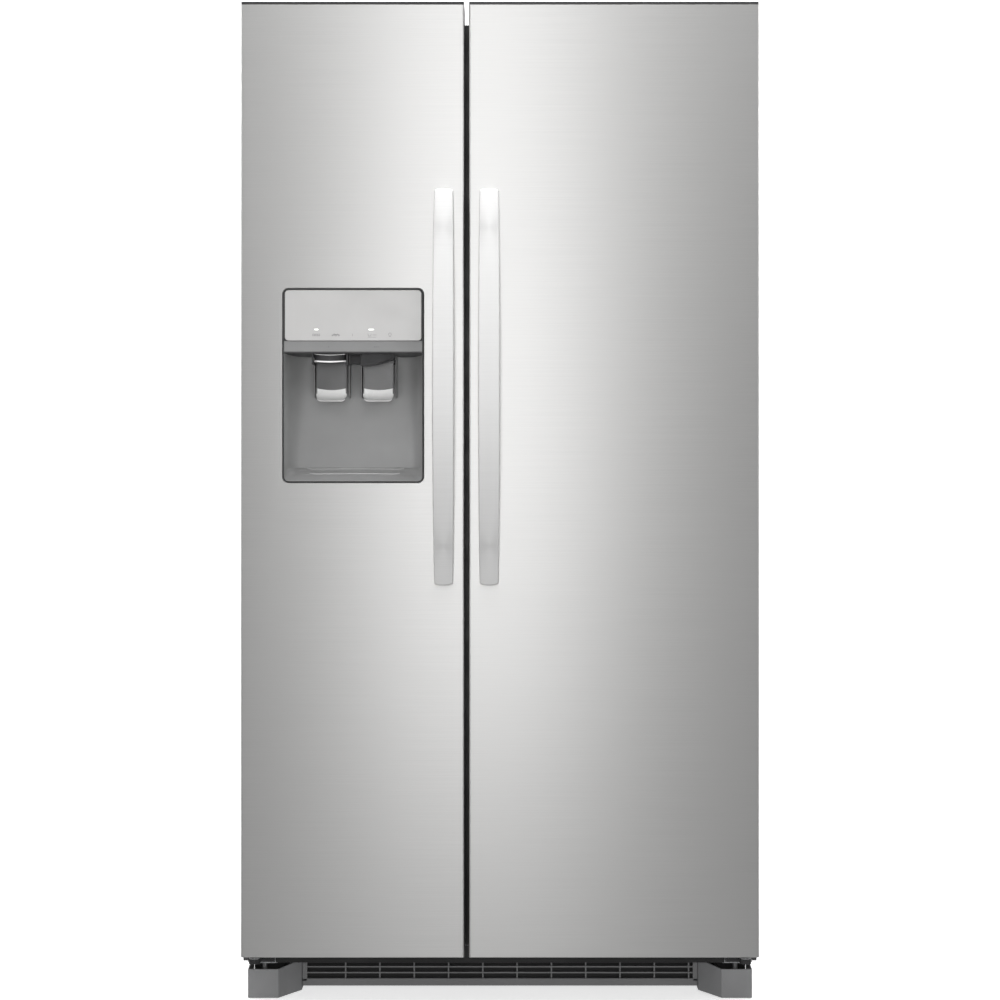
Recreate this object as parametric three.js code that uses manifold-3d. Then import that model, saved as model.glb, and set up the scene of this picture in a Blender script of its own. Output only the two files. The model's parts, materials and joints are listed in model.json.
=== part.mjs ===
// Side by side refrigerator, 36 inch class, in millimetres.
// +Z is up, the doors face -Y, and +X is to the right of a person facing the doors.
// The origin is on the floor, in the middle of the outline seen from above.

import * as THREE from 'three';
import * as BufferGeometryUtils from 'three/addons/utils/BufferGeometryUtils.js';
import Module from 'manifold-3d';

const wasm = await Module();
wasm.setup();

// ---- Driving dimensions ----

const FIT = 0.4;                        // gap between neighbouring pieces

const CABINET_HALF_WIDTH = 454;
const CABINET_FRONT = -303;
const CABINET_BACK = 437;
const CABINET_TOP = 1753;
const CABINET_SIDE_BOTTOM = 66;
const FRAME_BOTTOM = 96;                // lower edge of the front frame
const SHEET = 2;                        // folded sheet metal

const DOOR_HALF_SPAN = 457;             // from the middle of the cabinet to the outer edge of a door
const DOOR_SPLIT = -59;                 // middle of the gap between the doors
const DOOR_GAP = 8;
const DOOR_FRONT = -387;
const DOOR_BACK = -319;
const DOOR_BOTTOM = 91;
const DOOR_TOP = 1772;
const DOOR_EDGE_RADIUS = 3;
const DOOR_SKIN = 1.5;

const HINGE_PIN_X = 437;
const HINGE_PIN_Y = -350;
const HINGE_PIN_RADIUS = 4;

const LINER_WALL = 3;
const LINER_BOTTOM = 155;
const LINER_TOP = 1703;
const LINER_BACK = 377;
const HUMP_FRONT = 178;                 // the liner steps over the machine compartment
const HUMP_HEIGHT = 135;
const FREEZER_X = [-402, -88];          // outside of the freezer liner
const FRESH_FOOD_X = [-30, 412];        // outside of the fresh food liner

const MACHINE_FRONT = 232;
const MACHINE_TOP = 264;
const COMPARTMENT_FRONT = -150;         // front edge of shelves, drawers and baskets

const DISPENSER_X = [-383, -135];
const DISPENSER_Z = [929, 1271];
const FASCIA_Z = [1179, 1268];
const RECESS_Z = [933, 1159];

const HANDLE_HALF_LENGTH = 349;
const HANDLE_CENTRE_Z = 1097;
const HANDLE_WIDTH = 37;
const HANDLE_REACH = 62;                // how far the middle of the strap stands off the door
const HANDLE_FROM_EDGE = 36;            // centre of the strap from the free edge of its door

// ---- Materials ----

const finish = (color, roughness, metalness) =>
  new THREE.MeshStandardMaterial({ color, roughness, metalness });

const brushedSteel = finish(0xb9b8b5, 0.36, 1);
const cabinetPaint = finish(0x8b8c8e, 0.55, 0.2);
const darkPlastic = finish(0x2b2c2e, 0.5, 0);
const blackPlastic = finish(0x121212, 0.45, 0);
const greyPlastic = finish(0x77787a, 0.5, 0);
const fasciaSilver = finish(0xc9c7c4, 0.4, 0.3);
const whitePlastic = finish(0xf1f1ef, 0.4, 0);
const clearPlastic = finish(0xdfe6e8, 0.12, 0);
const shelfGlass = finish(0xcfe0da, 0.05, 0);
const gasketRubber = finish(0x4a4b4d, 0.8, 0);
const foam = finish(0xd8c98f, 0.9, 0);
const galvanized = finish(0x9a9da0, 0.5, 0.9);
const copper = finish(0xb87048, 0.4, 1);
const blackEnamel = finish(0x17181a, 0.35, 0.3);

// ---- Shape helpers ----

// Box between two corners, given as one [low, high] pair for each axis.
function block([x0, x1], [y0, y1], [z0, z1]) {
  const geometry = new THREE.BoxGeometry(x1 - x0, y1 - y0, z1 - z0);
  return geometry.translate((x0 + x1) / 2, (y0 + y1) / 2, (z0 + z1) / 2);
}

// Outline pushed along an axis. Along x the outline holds (y, z), along y it holds (x, z)
// and along z it holds (x, y).
function prism(outline, axis, [low, high], curveSegments = 6) {
  const settings = { depth: high - low, bevelEnabled: false, curveSegments };
  const geometry = new THREE.ExtrudeGeometry(outline, settings);
  const [x, y, z] = [new THREE.Vector3(1, 0, 0), new THREE.Vector3(0, 1, 0), new THREE.Vector3(0, 0, 1)];
  if (axis === 'x') {
    geometry.applyMatrix4(new THREE.Matrix4().makeBasis(y, z, x));
    return geometry.translate(low, 0, 0);
  }
  if (axis === 'y') {
    geometry.applyMatrix4(new THREE.Matrix4().makeBasis(x, z, y.clone().negate()));
    return geometry.translate(0, high, 0);
  }
  return geometry.translate(0, 0, low);
}

// Round bar along an axis, centred on a point.
function rod(radius, axis, [low, high], [a, b], sides = 16) {
  const geometry = new THREE.CylinderGeometry(radius, radius, high - low, sides);
  const middle = (low + high) / 2;
  if (axis === 'x') {
    return geometry.rotateZ(Math.PI / 2).translate(middle, a, b);
  }
  if (axis === 'y') {
    return geometry.translate(a, middle, b);
  }
  return geometry.rotateX(Math.PI / 2).translate(a, b, middle);
}

function polygon(points) {
  return new THREE.Shape(points.map(([a, b]) => new THREE.Vector2(a, b)));
}

function roundedRectangle([a0, a1], [b0, b1], radius) {
  const shape = new THREE.Shape();
  shape.moveTo(a0 + radius, b0);
  shape.lineTo(a1 - radius, b0);
  shape.absarc(a1 - radius, b0 + radius, radius, -Math.PI / 2, 0);
  shape.lineTo(a1, b1 - radius);
  shape.absarc(a1 - radius, b1 - radius, radius, 0, Math.PI / 2);
  shape.lineTo(a0 + radius, b1);
  shape.absarc(a0 + radius, b1 - radius, radius, Math.PI / 2, Math.PI);
  shape.lineTo(a0, b0 + radius);
  shape.absarc(a0 + radius, b0 + radius, radius, Math.PI, Math.PI * 1.5);
  return shape;
}

// Bent bar or wire through a list of [x, y, z] points.
function wire(points, radius, steps, sides = 8) {
  const knots = points.map((p) => new THREE.Vector3(...p));
  const path = new THREE.CatmullRomCurve3(knots, false, 'catmullrom', 0.2);
  const section = new THREE.Shape();
  section.absarc(0, 0, radius, 0, Math.PI * 2);
  return new THREE.ExtrudeGeometry(section, { steps, extrudePath: path, curveSegments: sides / 2 });
}

function solid(geometry) {
  const bare = geometry.clone();
  bare.deleteAttribute('normal');
  bare.deleteAttribute('uv');
  const merged = BufferGeometryUtils.mergeVertices(bare, 1e-4);
  return new wasm.Manifold(new wasm.Mesh({
    numProp: 3,
    vertProperties: new Float32Array(merged.attributes.position.array),
    triVerts: new Uint32Array(merged.index.array),
  }));
}

function meshGeometry(manifold) {
  const { vertProperties, triVerts } = manifold.getMesh();
  const geometry = new THREE.BufferGeometry();
  geometry.setAttribute('position', new THREE.BufferAttribute(vertProperties, 3));
  geometry.setIndex(new THREE.BufferAttribute(triVerts, 1));
  geometry.computeVertexNormals();
  return geometry;
}

// The first geometry with all the others joined to it.
function join(...geometries) {
  return meshGeometry(geometries.map(solid).reduce((whole, piece) => whole.add(piece)));
}

// The first geometry with all the others cut out of it.
function cut(base, ...tools) {
  return meshGeometry(tools.map(solid).reduce((rest, tool) => rest.subtract(tool), solid(base)));
}

function overlap(a, b) {
  return meshGeometry(solid(a).intersect(solid(b)));
}

// A [low, high] pair made longer at both ends, or shorter with a negative amount.
const grow = ([low, high], amount) => [low - amount, high + amount];

// The pair mirrored to the left for side = -1 and kept for side = +1.
const onSide = (side, [low, high]) => (side > 0 ? [low, high] : [-high, -low]);

function piece(parent, name, geometry, material, position = [0, 0, 0]) {
  const mesh = new THREE.Mesh(geometry, material.clone());
  mesh.name = name;
  mesh.position.set(...position);
  parent.add(mesh);
}

// Open-topped tray of even wall thickness.
function tray(x, y, z, wall) {
  return cut(block(x, y, z), block(grow(x, -wall), grow(y, -wall), [z[0] + wall, z[1] + 1]));
}

const SIDES = [['left', -1], ['right', 1]];
const CABINET_X = [-CABINET_HALF_WIDTH, CABINET_HALF_WIDTH];
const INSIDE_X = grow(CABINET_X, -SHEET - FIT);
const inside = (linerX) => grow(linerX, -LINER_WALL);

// ---- Cabinet ----

// Side profile of a liner with its step over the machine compartment, moved outward by a margin.
function linerProfile(front, margin) {
  const bottom = LINER_BOTTOM - margin;
  const hump = LINER_BOTTOM + HUMP_HEIGHT;
  const back = LINER_BACK + margin;
  return polygon([
    [front, bottom],
    [HUMP_FRONT + margin, bottom],
    [HUMP_FRONT + margin + 7, hump - margin],
    [back, hump + 32 - margin],
    [back, LINER_TOP + margin],
    [front, LINER_TOP + margin],
  ]);
}

const linerSolid = (x, front, margin) => prism(linerProfile(front, margin), 'x', grow(x, margin));

// Moulded liner, open at the front, with a pair of ledges for each shelf or drawer.
function liner(x, ledges) {
  const shell = cut(linerSolid(x, CABINET_FRONT + 0.5, 0), linerSolid(x, CABINET_FRONT - 1, -LINER_WALL));
  const [left, right] = inside(x);
  const rails = ledges.flatMap(([z, depth]) => {
    const length = [COMPARTMENT_FRONT + 16, COMPARTMENT_FRONT + depth];
    return [
      block([left - 1, left + 9], length, [z - 8, z]),
      block([right - 9, right + 1], length, [z - 8, z]),
    ];
  });
  return join(shell, ...rails);
}

// Painted steel sides and top, folded in at the front as a frame round both compartments.
function cabinetWrapper() {
  const depth = [CABINET_FRONT, CABINET_BACK];
  const outer = block(CABINET_X, depth, [CABINET_SIDE_BOTTOM, CABINET_TOP]);
  const room = block(
    grow(CABINET_X, -SHEET), [CABINET_FRONT + SHEET, CABINET_BACK + 1], [0, CABINET_TOP - SHEET]);
  const front = [CABINET_FRONT - 1, CABINET_FRONT + SHEET + 1];
  const opening = (x) => block(grow(x, FIT), front, [LINER_BOTTOM - FIT, LINER_TOP + FIT]);
  const toeSpace = block(grow(CABINET_X, -SHEET), front, [0, FRAME_BOTTOM]);
  return cut(outer, room, opening(FREEZER_X), opening(FRESH_FOOD_X), toeSpace);
}

function cabinetFoam() {
  const back = CABINET_BACK - 5;
  const front = CABINET_FRONT + SHEET + FIT;
  const whole = block(INSIDE_X, [front, back], [FRAME_BOTTOM + FIT, CABINET_TOP - SHEET - FIT]);
  const step = block(grow(INSIDE_X, 1), [MACHINE_FRONT - SHEET - 2 * FIT, back + 1],
    [0, MACHINE_TOP + FIT]);
  return cut(whole, step, linerSolid(FREEZER_X, front - 1, FIT), linerSolid(FRESH_FOOD_X, front - 1, FIT));
}

// Flat back with shallow stiffening ribs.
function backPanel() {
  const y = [CABINET_BACK - 4, CABINET_BACK - 2];
  const panel = block(INSIDE_X, y, [MACHINE_TOP + FIT, CABINET_TOP - SHEET - FIT]);
  const ribs = [-300, -100, 100, 300].map((x) => block([x - 15, x + 15], [y[1] - 1, CABINET_BACK],
    [420, 1640]));
  return join(panel, ...ribs);
}

// Bottom sheet with its step, side rails, front crossmember, compressor tray and wheel brackets.
function baseChassis() {
  const floorZ = FRAME_BOTTOM - SHEET - FIT;
  const floor = prism(polygon([
    [CABINET_FRONT + SHEET + FIT, floorZ], [MACHINE_FRONT - FIT, floorZ],
    [MACHINE_FRONT - FIT, MACHINE_TOP - SHEET], [CABINET_BACK - 5, MACHINE_TOP - SHEET],
    [CABINET_BACK - 5, MACHINE_TOP], [MACHINE_FRONT - FIT - SHEET, MACHINE_TOP],
    [MACHINE_FRONT - FIT - SHEET, floorZ + SHEET], [CABINET_FRONT + SHEET + FIT, floorZ + SHEET],
  ]), 'x', INSIDE_X);
  const crossmember = block(INSIDE_X, [CABINET_FRONT + SHEET + FIT, CABINET_FRONT + 5], [68, floorZ + 1]);
  const compressorTray = block([-404, 404], [MACHINE_FRONT - 4, CABINET_BACK - 5],
    [TRAY_BOTTOM, TRAY_BOTTOM + SHEET]);
  const trayFront = block([-404, 404], [MACHINE_FRONT - FIT - SHEET, MACHINE_FRONT - FIT],
    [TRAY_BOTTOM, floorZ + 1]);
  const sideParts = SIDES.flatMap(([, side]) => [
    block(railX(side), [CABINET_FRONT + 3, MACHINE_FRONT], [CABINET_SIDE_BOTTOM, floorZ + 1]),
    block(railX(side), [MACHINE_FRONT - 2, CABINET_BACK - 5], [REAR_RAIL_BOTTOM, MACHINE_TOP - 1]),
    block(onSide(side, [402, 404]), [MACHINE_FRONT - 4, CABINET_BACK - 5], [TRAY_BOTTOM, 76]),
    block(onSide(side, [402, INSIDE_X[1]]), [MACHINE_FRONT - 4, CABINET_BACK - 5], [74, 76]),
    block(onSide(side, [402, INSIDE_X[1] - 1]), [-292, -236], [LEG_PLATE_Z, LEG_PLATE_Z + 4]),
    block(onSide(side, [402, 406]), [-292, -170], [LEG_PLATE_Z, floorZ + 1]),
    ...WHEEL_YS.flatMap((y) => wheelForks(side, y, y > 0 ? 75 : floorZ + 1)),
  ]);
  const holes = SIDES.flatMap(([, side]) => [
    rod(LEG_STUD_RADIUS + 0.6, 'z', [LEG_PLATE_Z - 1, LEG_PLATE_Z + 5], [side * LEG_X, LEG_Y]),
    ...WHEEL_YS.map((y) => rod(AXLE_RADIUS + 0.5, 'x', onSide(side, [405, 446]), [y, wheelHeight(y)])),
  ]);
  return cut(join(floor, crossmember, compressorTray, trayFront, ...sideParts), ...holes);
}

const TRAY_BOTTOM = 42;
const LEG_PLATE_Z = 62;
const REAR_RAIL_BOTTOM = 48;

const railX = (side) => onSide(side, [INSIDE_X[1] - SHEET, INSIDE_X[1]]);

// ---- Wheels and levelling legs ----

const WHEEL_YS = [-195, 395];
const WHEEL_X = 425;
const WHEEL_WIDTH = 18;
const AXLE_RADIUS = 3.5;
const FRONT_WHEEL_RADIUS = 18;
const REAR_WHEEL_RADIUS = 20;
const FRONT_WHEEL_LIFT = 1.5;           // the legs carry the front, so its wheels hang clear of the floor
const LEG_X = 427;
const LEG_Y = -264;
const LEG_STUD_RADIUS = 5;

const wheelHeight = (y) => (y > 0 ? REAR_WHEEL_RADIUS : FRONT_WHEEL_RADIUS + FRONT_WHEEL_LIFT);

// The two cheeks that hold the axle of a wheel.
function wheelForks(side, y, top) {
  const reach = WHEEL_WIDTH / 2 + 1.5;
  return [-1, 1].map((cheek) => {
    const x = side * WHEEL_X + cheek * (reach + 1);
    return block([x - 1, x + 1], [y - 11, y + 11], [wheelHeight(y) - 9, top]);
  });
}

// Wheel and its axle, turned about z and laid along x.
function wheel(radius) {
  const half = WHEEL_WIDTH / 2;
  const axleHalf = half + 5;
  const profile = [
    [0, -axleHalf], [AXLE_RADIUS, -axleHalf], [AXLE_RADIUS, -half], [radius - 2, -half],
      [radius, -half + 2],
    [radius, half - 2], [radius - 2, half], [AXLE_RADIUS, half], [AXLE_RADIUS, axleHalf], [0, axleHalf],
  ].map(([r, h]) => new THREE.Vector2(r, h));
  return new THREE.LatheGeometry(profile, 24).rotateZ(Math.PI / 2);
}

// Round foot with a threaded stud, standing on its own origin.
function levellingLeg() {
  const profile = [
    [0, 0], [17, 0], [19, 2], [19, 6], [9, 9], [LEG_STUD_RADIUS, 11], [LEG_STUD_RADIUS, 84], [0, 84],
  ].map(([r, h]) => new THREE.Vector2(r, h));
  return new THREE.LatheGeometry(profile, 20).rotateX(Math.PI / 2);
}

// ---- Toe grille and leg covers ----

const GRILLE_X = [-357, 357];
const GRILLE_Y = [-250, -240];
const GRILLE_Z = [12, 88];
const GRILLE_COLUMNS = 11;
const GRILLE_PITCH = 62.6;
const GRILLE_RIB = 6;
const GRILLE_ROWS = [[26, 34], [37, 45], [48, 56], [59, 67]];

function toeGrille() {
  const slots = [];
  for (let column = 0; column < GRILLE_COLUMNS; column += 1) {
    const middle = (column - (GRILLE_COLUMNS - 1) / 2) * GRILLE_PITCH;
    const x = [middle - (GRILLE_PITCH - GRILLE_RIB) / 2, middle + (GRILLE_PITCH - GRILLE_RIB) / 2];
    slots.push(...GRILLE_ROWS.map((z) => block(x, grow(GRILLE_Y, 1), z)));
  }
  const hollow = block(grow(GRILLE_X, -3), [GRILLE_Y[0] + 3, GRILLE_Y[1] + 1],
    [GRILLE_Z[0] + 3, GRILLE_Z[1] - 3]);
  return cut(block(GRILLE_X, GRILLE_Y, GRILLE_Z), hollow, ...slots);
}

// Cover round a leg: a front plate, a slanted inner side and a short outer side, all of one wall.
function legCover(side) {
  const wall = 2.5;
  const plan = (margin) => polygon([
    [side * (CABINET_HALF_WIDTH - margin), CABINET_FRONT + margin],
      [side * (399 + margin), CABINET_FRONT + margin],
    [side * (361 + margin), GRILLE_Y[0] + 1], [side * (361 + margin), -216],
    [side * (CABINET_HALF_WIDTH - margin), -216],
  ]);
  const raised = polygon([[CABINET_FRONT - 1, 1], [-215, 6], [-215, 65.5], [CABINET_FRONT - 1, 53]]);
  const shell = cut(prism(plan(0), 'z', [0, 70]), prism(plan(wall), 'z', [-1, 71]));
  const openBack = block(onSide(side, [375, 450]), [-219, -210], [-1, 71]);
  return overlap(cut(shell, openBack), prism(raised, 'x', onSide(side, [350, 460])));
}

// ---- Hinges ----

const TOP_ARM_Z = [CABINET_TOP + FIT, CABINET_TOP + FIT + 3];
const BOTTOM_ARM_Z = [73, 81.5];

// Plan of a hinge arm: a round end about the pin, widening to a plate over the cabinet.
function hingeArm(side, plateBack, plateX) {
  const boss = 10;
  const shape = new THREE.Shape();
  shape.moveTo(HINGE_PIN_X + boss, HINGE_PIN_Y);
  shape.lineTo(HINGE_PIN_X + boss, CABINET_FRONT);
  shape.lineTo(plateX[1], CABINET_FRONT + 6);
  shape.lineTo(plateX[1], plateBack);
  shape.lineTo(plateX[0], plateBack);
  shape.lineTo(plateX[0], CABINET_FRONT + 6);
  shape.lineTo(HINGE_PIN_X - boss, CABINET_FRONT - 8);
  shape.lineTo(HINGE_PIN_X - boss, HINGE_PIN_Y);
  shape.absarc(HINGE_PIN_X, HINGE_PIN_Y, boss, Math.PI, Math.PI * 2);
  if (side > 0) {
    return shape;
  }
  return new THREE.Shape(shape.getPoints(6).map((p) => new THREE.Vector2(-p.x, p.y)).reverse());
}

function topHinge(side) {
  const arm = prism(hingeArm(side, -222, [404, 449]), 'z', TOP_ARM_Z);
  const pin = rod(HINGE_PIN_RADIUS, 'z', [CABINET_TOP - 22, TOP_ARM_Z[1]],
    [side * HINGE_PIN_X, HINGE_PIN_Y]);
  const bolts = [-240, -275].map((y) => rod(6, 'z', [TOP_ARM_Z[1] - 1, TOP_ARM_Z[1] + 4],
    [side * 420, y], 6));
  return join(arm, pin, ...bolts);
}

// Plastic cover over the bolted part of a top hinge, open below and towards the door.
function hingeCover(side) {
  const profile = polygon([
    [CABINET_FRONT + 2, CABINET_TOP + FIT], [-205, CABINET_TOP + FIT], [-205, CABINET_TOP + 10],
    [-214, CABINET_TOP + 20], [CABINET_FRONT + 2, CABINET_TOP + 21],
  ]);
  const shell = prism(profile, 'x', onSide(side, [398, CABINET_HALF_WIDTH - 1]));
  const room = block(onSide(side, [400.5, CABINET_HALF_WIDTH - 3]), [CABINET_FRONT, -216],
    [CABINET_TOP, CABINET_TOP + 14]);
  return cut(shell, room);
}

// Bracket bolted to the front of the chassis, with the lower pin standing up from it.
function bottomHinge(side) {
  const front = CABINET_FRONT - FIT;
  const arm = prism(hingeArm(side, front + 20, [407, 447]), 'z', BOTTOM_ARM_Z);
  const behind = block(onSide(side, [400, 460]), [front, front + 40], grow(BOTTOM_ARM_Z, 1));
  const flange = block(onSide(side, [405, 449]), [front - 3.5, front], [67, FRAME_BOTTOM + 4]);
  const pin = rod(HINGE_PIN_RADIUS, 'z', [BOTTOM_ARM_Z[0], 112], [side * HINGE_PIN_X, HINGE_PIN_Y]);
  const washer = rod(9.5, 'z', [BOTTOM_ARM_Z[1] - 1, BOTTOM_ARM_Z[1] + 2.5],
    [side * HINGE_PIN_X, HINGE_PIN_Y]);
  return join(cut(arm, behind), flange, pin, washer);
}

// ---- Machine compartment ----

const COMPRESSOR_X = 250;
const COMPRESSOR_Y = 335;
const FAN_X = -40;
const FAN_Y = 335;
const FAN_Z = 152;

// Welded shell with a flange round its middle, on four feet.
function compressor() {
  const profile = [
    [0, 62], [60, 64], [82, 80], [88, 108], [94, 110], [94, 114], [88, 116], [84, 150], [66, 176],
      [30, 187], [0, 188],
  ].map(([r, h]) => new THREE.Vector2(r, h));
  const shell = new THREE.LatheGeometry(profile, 20).rotateX(Math.PI / 2);
  const feet = [[-1, -1], [-1, 1], [1, -1], [1, 1]].map(([sx, sy]) => rod(9, 'z', [45, 70],
    [sx * 66, sy * 50], 10));
  const plate = block([-80, 80], [-62, 62], [58, 63]);
  const terminals = block([78, 112], [-26, 26], [78, 132]);
  return join(shell, plate, terminals, ...feet);
}

// One long tube folded back and forth in a flat bank.
function condenserCoil() {
  const points = [];
  const rows = 6;
  for (let row = 0; row < rows; row += 1) {
    const z = 70 + row * 26;
    const ends = row % 2 === 0 ? [-372, -118] : [-118, -372];
    const bend = Math.sign(ends[1] - ends[0]) * 10;
    points.push([ends[0], 340, z], [ends[1], 340, z]);
    if (row < rows - 1) {
      points.push([ends[1] + bend, 340, z + 13]);
    }
  }
  return wire(points, 4, 96);
}

function condenserFan() {
  const hub = rod(15, 'x', [-12, 12], [0, 0], 14);
  const blades = [0, 1, 2, 3, 4].map((k) => {
    const blade = new THREE.BoxGeometry(2.5, 34, 50);
    blade.rotateZ(0.5).translate(0, 0, 35);
    return blade.rotateX((k * Math.PI * 2) / 5);
  });
  return join(hub, ...blades);
}

// Louvred steel cover of the machine compartment with the gland for the power cord.
function rearCover() {
  const y = [CABINET_BACK - 4, CABINET_BACK];
  const plate = block([-440, 440], y, [48, MACHINE_TOP - 2]);
  const slots = [];
  for (let row = 0; row < 6; row += 1) {
    const z = 84 + row * 24;
    slots.push(block([-360, -120], grow(y, 1), [z, z + 9]), block([-90, 90], grow(y, 1), [z, z + 9]));
  }
  const gland = rod(13, 'y', [y[0] - 4, CABINET_BACK + 12], [372, 140]);
  const cordHole = rod(5, 'y', [y[0] - 5, CABINET_BACK + 13], [372, 140], 12);
  return cut(join(cut(plate, ...slots), gland), cordHole);
}

// ---- Freezer inside ----

const FREEZER_INSIDE = inside(FREEZER_X);
const FRESH_FOOD_INSIDE = inside(FRESH_FOOD_X);
const FREEZER_SHELF_Z = [520, 860];
const ICE_BIN_Z = [1322, 1470];
const BASKET_Z = [168, 318];
const FRESH_FOOD_SHELF_Z = [960, 1330];
const CRISPER_COVER_Z = 640;
const UPPER_CRISPER_Z = [402, 610];
const LOWER_CRISPER_Z = [168, 360];

function evaporatorModule() {
  const y = [LINER_BACK - LINER_WALL - 42, LINER_BACK - LINER_WALL - 3];
  const x = grow(FREEZER_INSIDE, -4);
  const cover = block(x, y, [400, 1540]);
  const pocket = block(grow(x, -3), [y[0] + 3, y[1] + 1], [403, 1537]);
  const vents = [0, 1, 2, 3].map((k) => block(grow(x, -60), [y[0] - 1, y[0] + 4],
    [1440 + k * 18, 1449 + k * 18]));
  const coils = [0, 1, 2, 3, 4].map((k) => block(grow(x, -12), [y[0] + 8, y[1] - 4],
    [470 + k * 40, 494 + k * 40]));
  const spine = block([x[0] + 40, x[0] + 48], [y[0] + 1, y[1] - 6], [450, 670]);
  return join(cut(cover, pocket, ...vents), ...coils, spine);
}

// Glass in a moulded frame with a low rail at the back.
function shelf(x, y, z, thickness = 6) {
  const plate = block(x, y, [z, z + thickness]);
  const frontRail = block(x, [y[0], y[0] + 14], [z - 4, z + thickness + 5]);
  const backRail = block(x, [y[1] - 8, y[1]], [z, z + thickness + 14]);
  return join(plate, frontRail, backRail);
}

// Ice mould with its motor box, hung from the left wall.
function iceMaker() {
  const mould = tray([-382, -150], [60, 190], [1580, 1640], 5);
  const motorBox = block([-151, -104], [52, 198], [1560, 1652]);
  const hanger = block([-394, -381], [70, 180], [1600, 1680]);
  const fins = [0, 1, 2, 3, 4, 5].map((k) => block([-350 + k * 34, -346 + k * 34], [62, 188],
    [1582, 1634]));
  const shaftHole = rod(4.5, 'x', [-152, -100], [40, 1612], 12);
  const lug = block([-116, -106], [30, 56], [1602, 1622]);
  return cut(join(mould, motorBox, hanger, lug, ...fins), shaftHole);
}

// Feeler arm that lies on the ice and lifts when the bin is full.
function iceMakerArm() {
  return wire([[22, 0, 0], [-12, 0, 0], [-14, -2, -8], [-26, -40, -62], [-34, -46, -70],
    [-200, -46, -70], [-212, -40, -62], [-224, 0, -8], [-226, 4, 0]], 2.5, 40, 6);
}

// Deep bin with a sloping chute mouth at the front of its floor.
function iceBin() {
  const x = grow(FREEZER_INSIDE, -14);
  const y = [COMPARTMENT_FRONT, 250];
  const bin = tray(x, y, ICE_BIN_Z, 4);
  const mouth = block([-330, -270], [COMPARTMENT_FRONT + 20, COMPARTMENT_FRONT + 80],
    [ICE_BIN_Z[0] - 1, ICE_BIN_Z[0] + 5]);
  const grip = block([-300, -190], [COMPARTMENT_FRONT - 10, COMPARTMENT_FRONT + 1],
    [ICE_BIN_Z[1] - 14, ICE_BIN_Z[1] - 8]);
  return join(cut(bin, mouth), grip);
}

// Basket with two rows of openings in its front.
function freezerBasket() {
  const x = grow(FREEZER_INSIDE, -8);
  const y = [COMPARTMENT_FRONT, 165];
  const slots = [0, 1, 2, 3, 4].map((k) => {
    const middle = (x[0] + x[1]) / 2 + (k - 2) * 50;
    return block([middle - 17, middle + 17], [y[0] - 1, y[0] + 5], [BASKET_Z[0] + 40, BASKET_Z[1] - 50]);
  });
  return cut(tray(x, y, BASKET_Z, 4), ...slots);
}

// ---- Fresh food inside ----

function controlHousing() {
  const z = [1640, LINER_TOP - LINER_WALL - FIT];
  const body = prism(polygon([[-120, z[1]], [-120, 1662], [-60, z[0]], [190, z[0]], [190, z[1]]]), 'x',
    grow(FRESH_FOOD_INSIDE, -3));
  const lampWell = block([90, 290], [-20, 120], [z[0] - 1, z[0] + 34]);
  const knobs = [30, 350].map((x) => rod(16, 'z', [z[0] - 9, z[0] + 1], [x, 20], 18));
  return join(cut(body, lampWell), ...knobs);
}

function crisperDrawer(y, z) {
  const x = grow(FRESH_FOOD_INSIDE, -11);
  const drawer = tray(x, y, z, 3);
  const grip = block(grow(x, -110), [y[0] - 12, y[0] + 1], [z[1] - 20, z[1] - 16]);
  return join(drawer, grip);
}

// ---- Doors ----

const FREEZER_DOOR_X = [-DOOR_HALF_SPAN, DOOR_SPLIT - DOOR_GAP / 2];
const FRESH_FOOD_DOOR_X = [DOOR_SPLIT + DOOR_GAP / 2, DOOR_HALF_SPAN];
const CAP_SKIRT = 52;                   // height of the dark end piece down the side of a door
const PLUG_RADIUS = DOOR_EDGE_RADIUS - DOOR_SKIN - FIT;
const LID_INSET = 0.5;
const RECESS_FLOOR = CABINET_TOP - 3;   // floor of the hinge recess in the top cap

// Plan of a door between its front and its back, with rounded front corners.
function doorPlan([x0, x1], front, back, radius) {
  const shape = new THREE.Shape();
  shape.moveTo(x0, back);
  shape.lineTo(x0, front + radius);
  shape.absarc(x0 + radius, front + radius, radius, Math.PI, Math.PI * 1.5);
  shape.lineTo(x1 - radius, front);
  shape.absarc(x1 - radius, front + radius, radius, -Math.PI / 2, 0);
  shape.lineTo(x1, back);
  return shape;
}

// Room that the top hinge needs in the end of a door, open to the back and to the outer side.
const hingeRecess = (side, margin = 0) => block(
  onSide(side, [HINGE_PIN_X - 13 - margin, DOOR_HALF_SPAN + 3]),
  [-377 - margin, DOOR_BACK + 1],
  [RECESS_FLOOR, DOOR_TOP - 1 + margin]);

// Steel sheet folded round the front and the two sides, open at the back, top and bottom.
function doorSkin(x, side, ...openings) {
  const z = [DOOR_BOTTOM, DOOR_TOP];
  const outer = prism(doorPlan(x, DOOR_FRONT, DOOR_BACK, DOOR_EDGE_RADIUS), 'z', z);
  const innerPlan = doorPlan(grow(x, -DOOR_SKIN), DOOR_FRONT + DOOR_SKIN, DOOR_BACK + 1,
    DOOR_EDGE_RADIUS - DOOR_SKIN);
  return cut(outer, prism(innerPlan, 'z', grow(z, 1)), hingeRecess(side, 1), ...openings);
}

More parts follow.
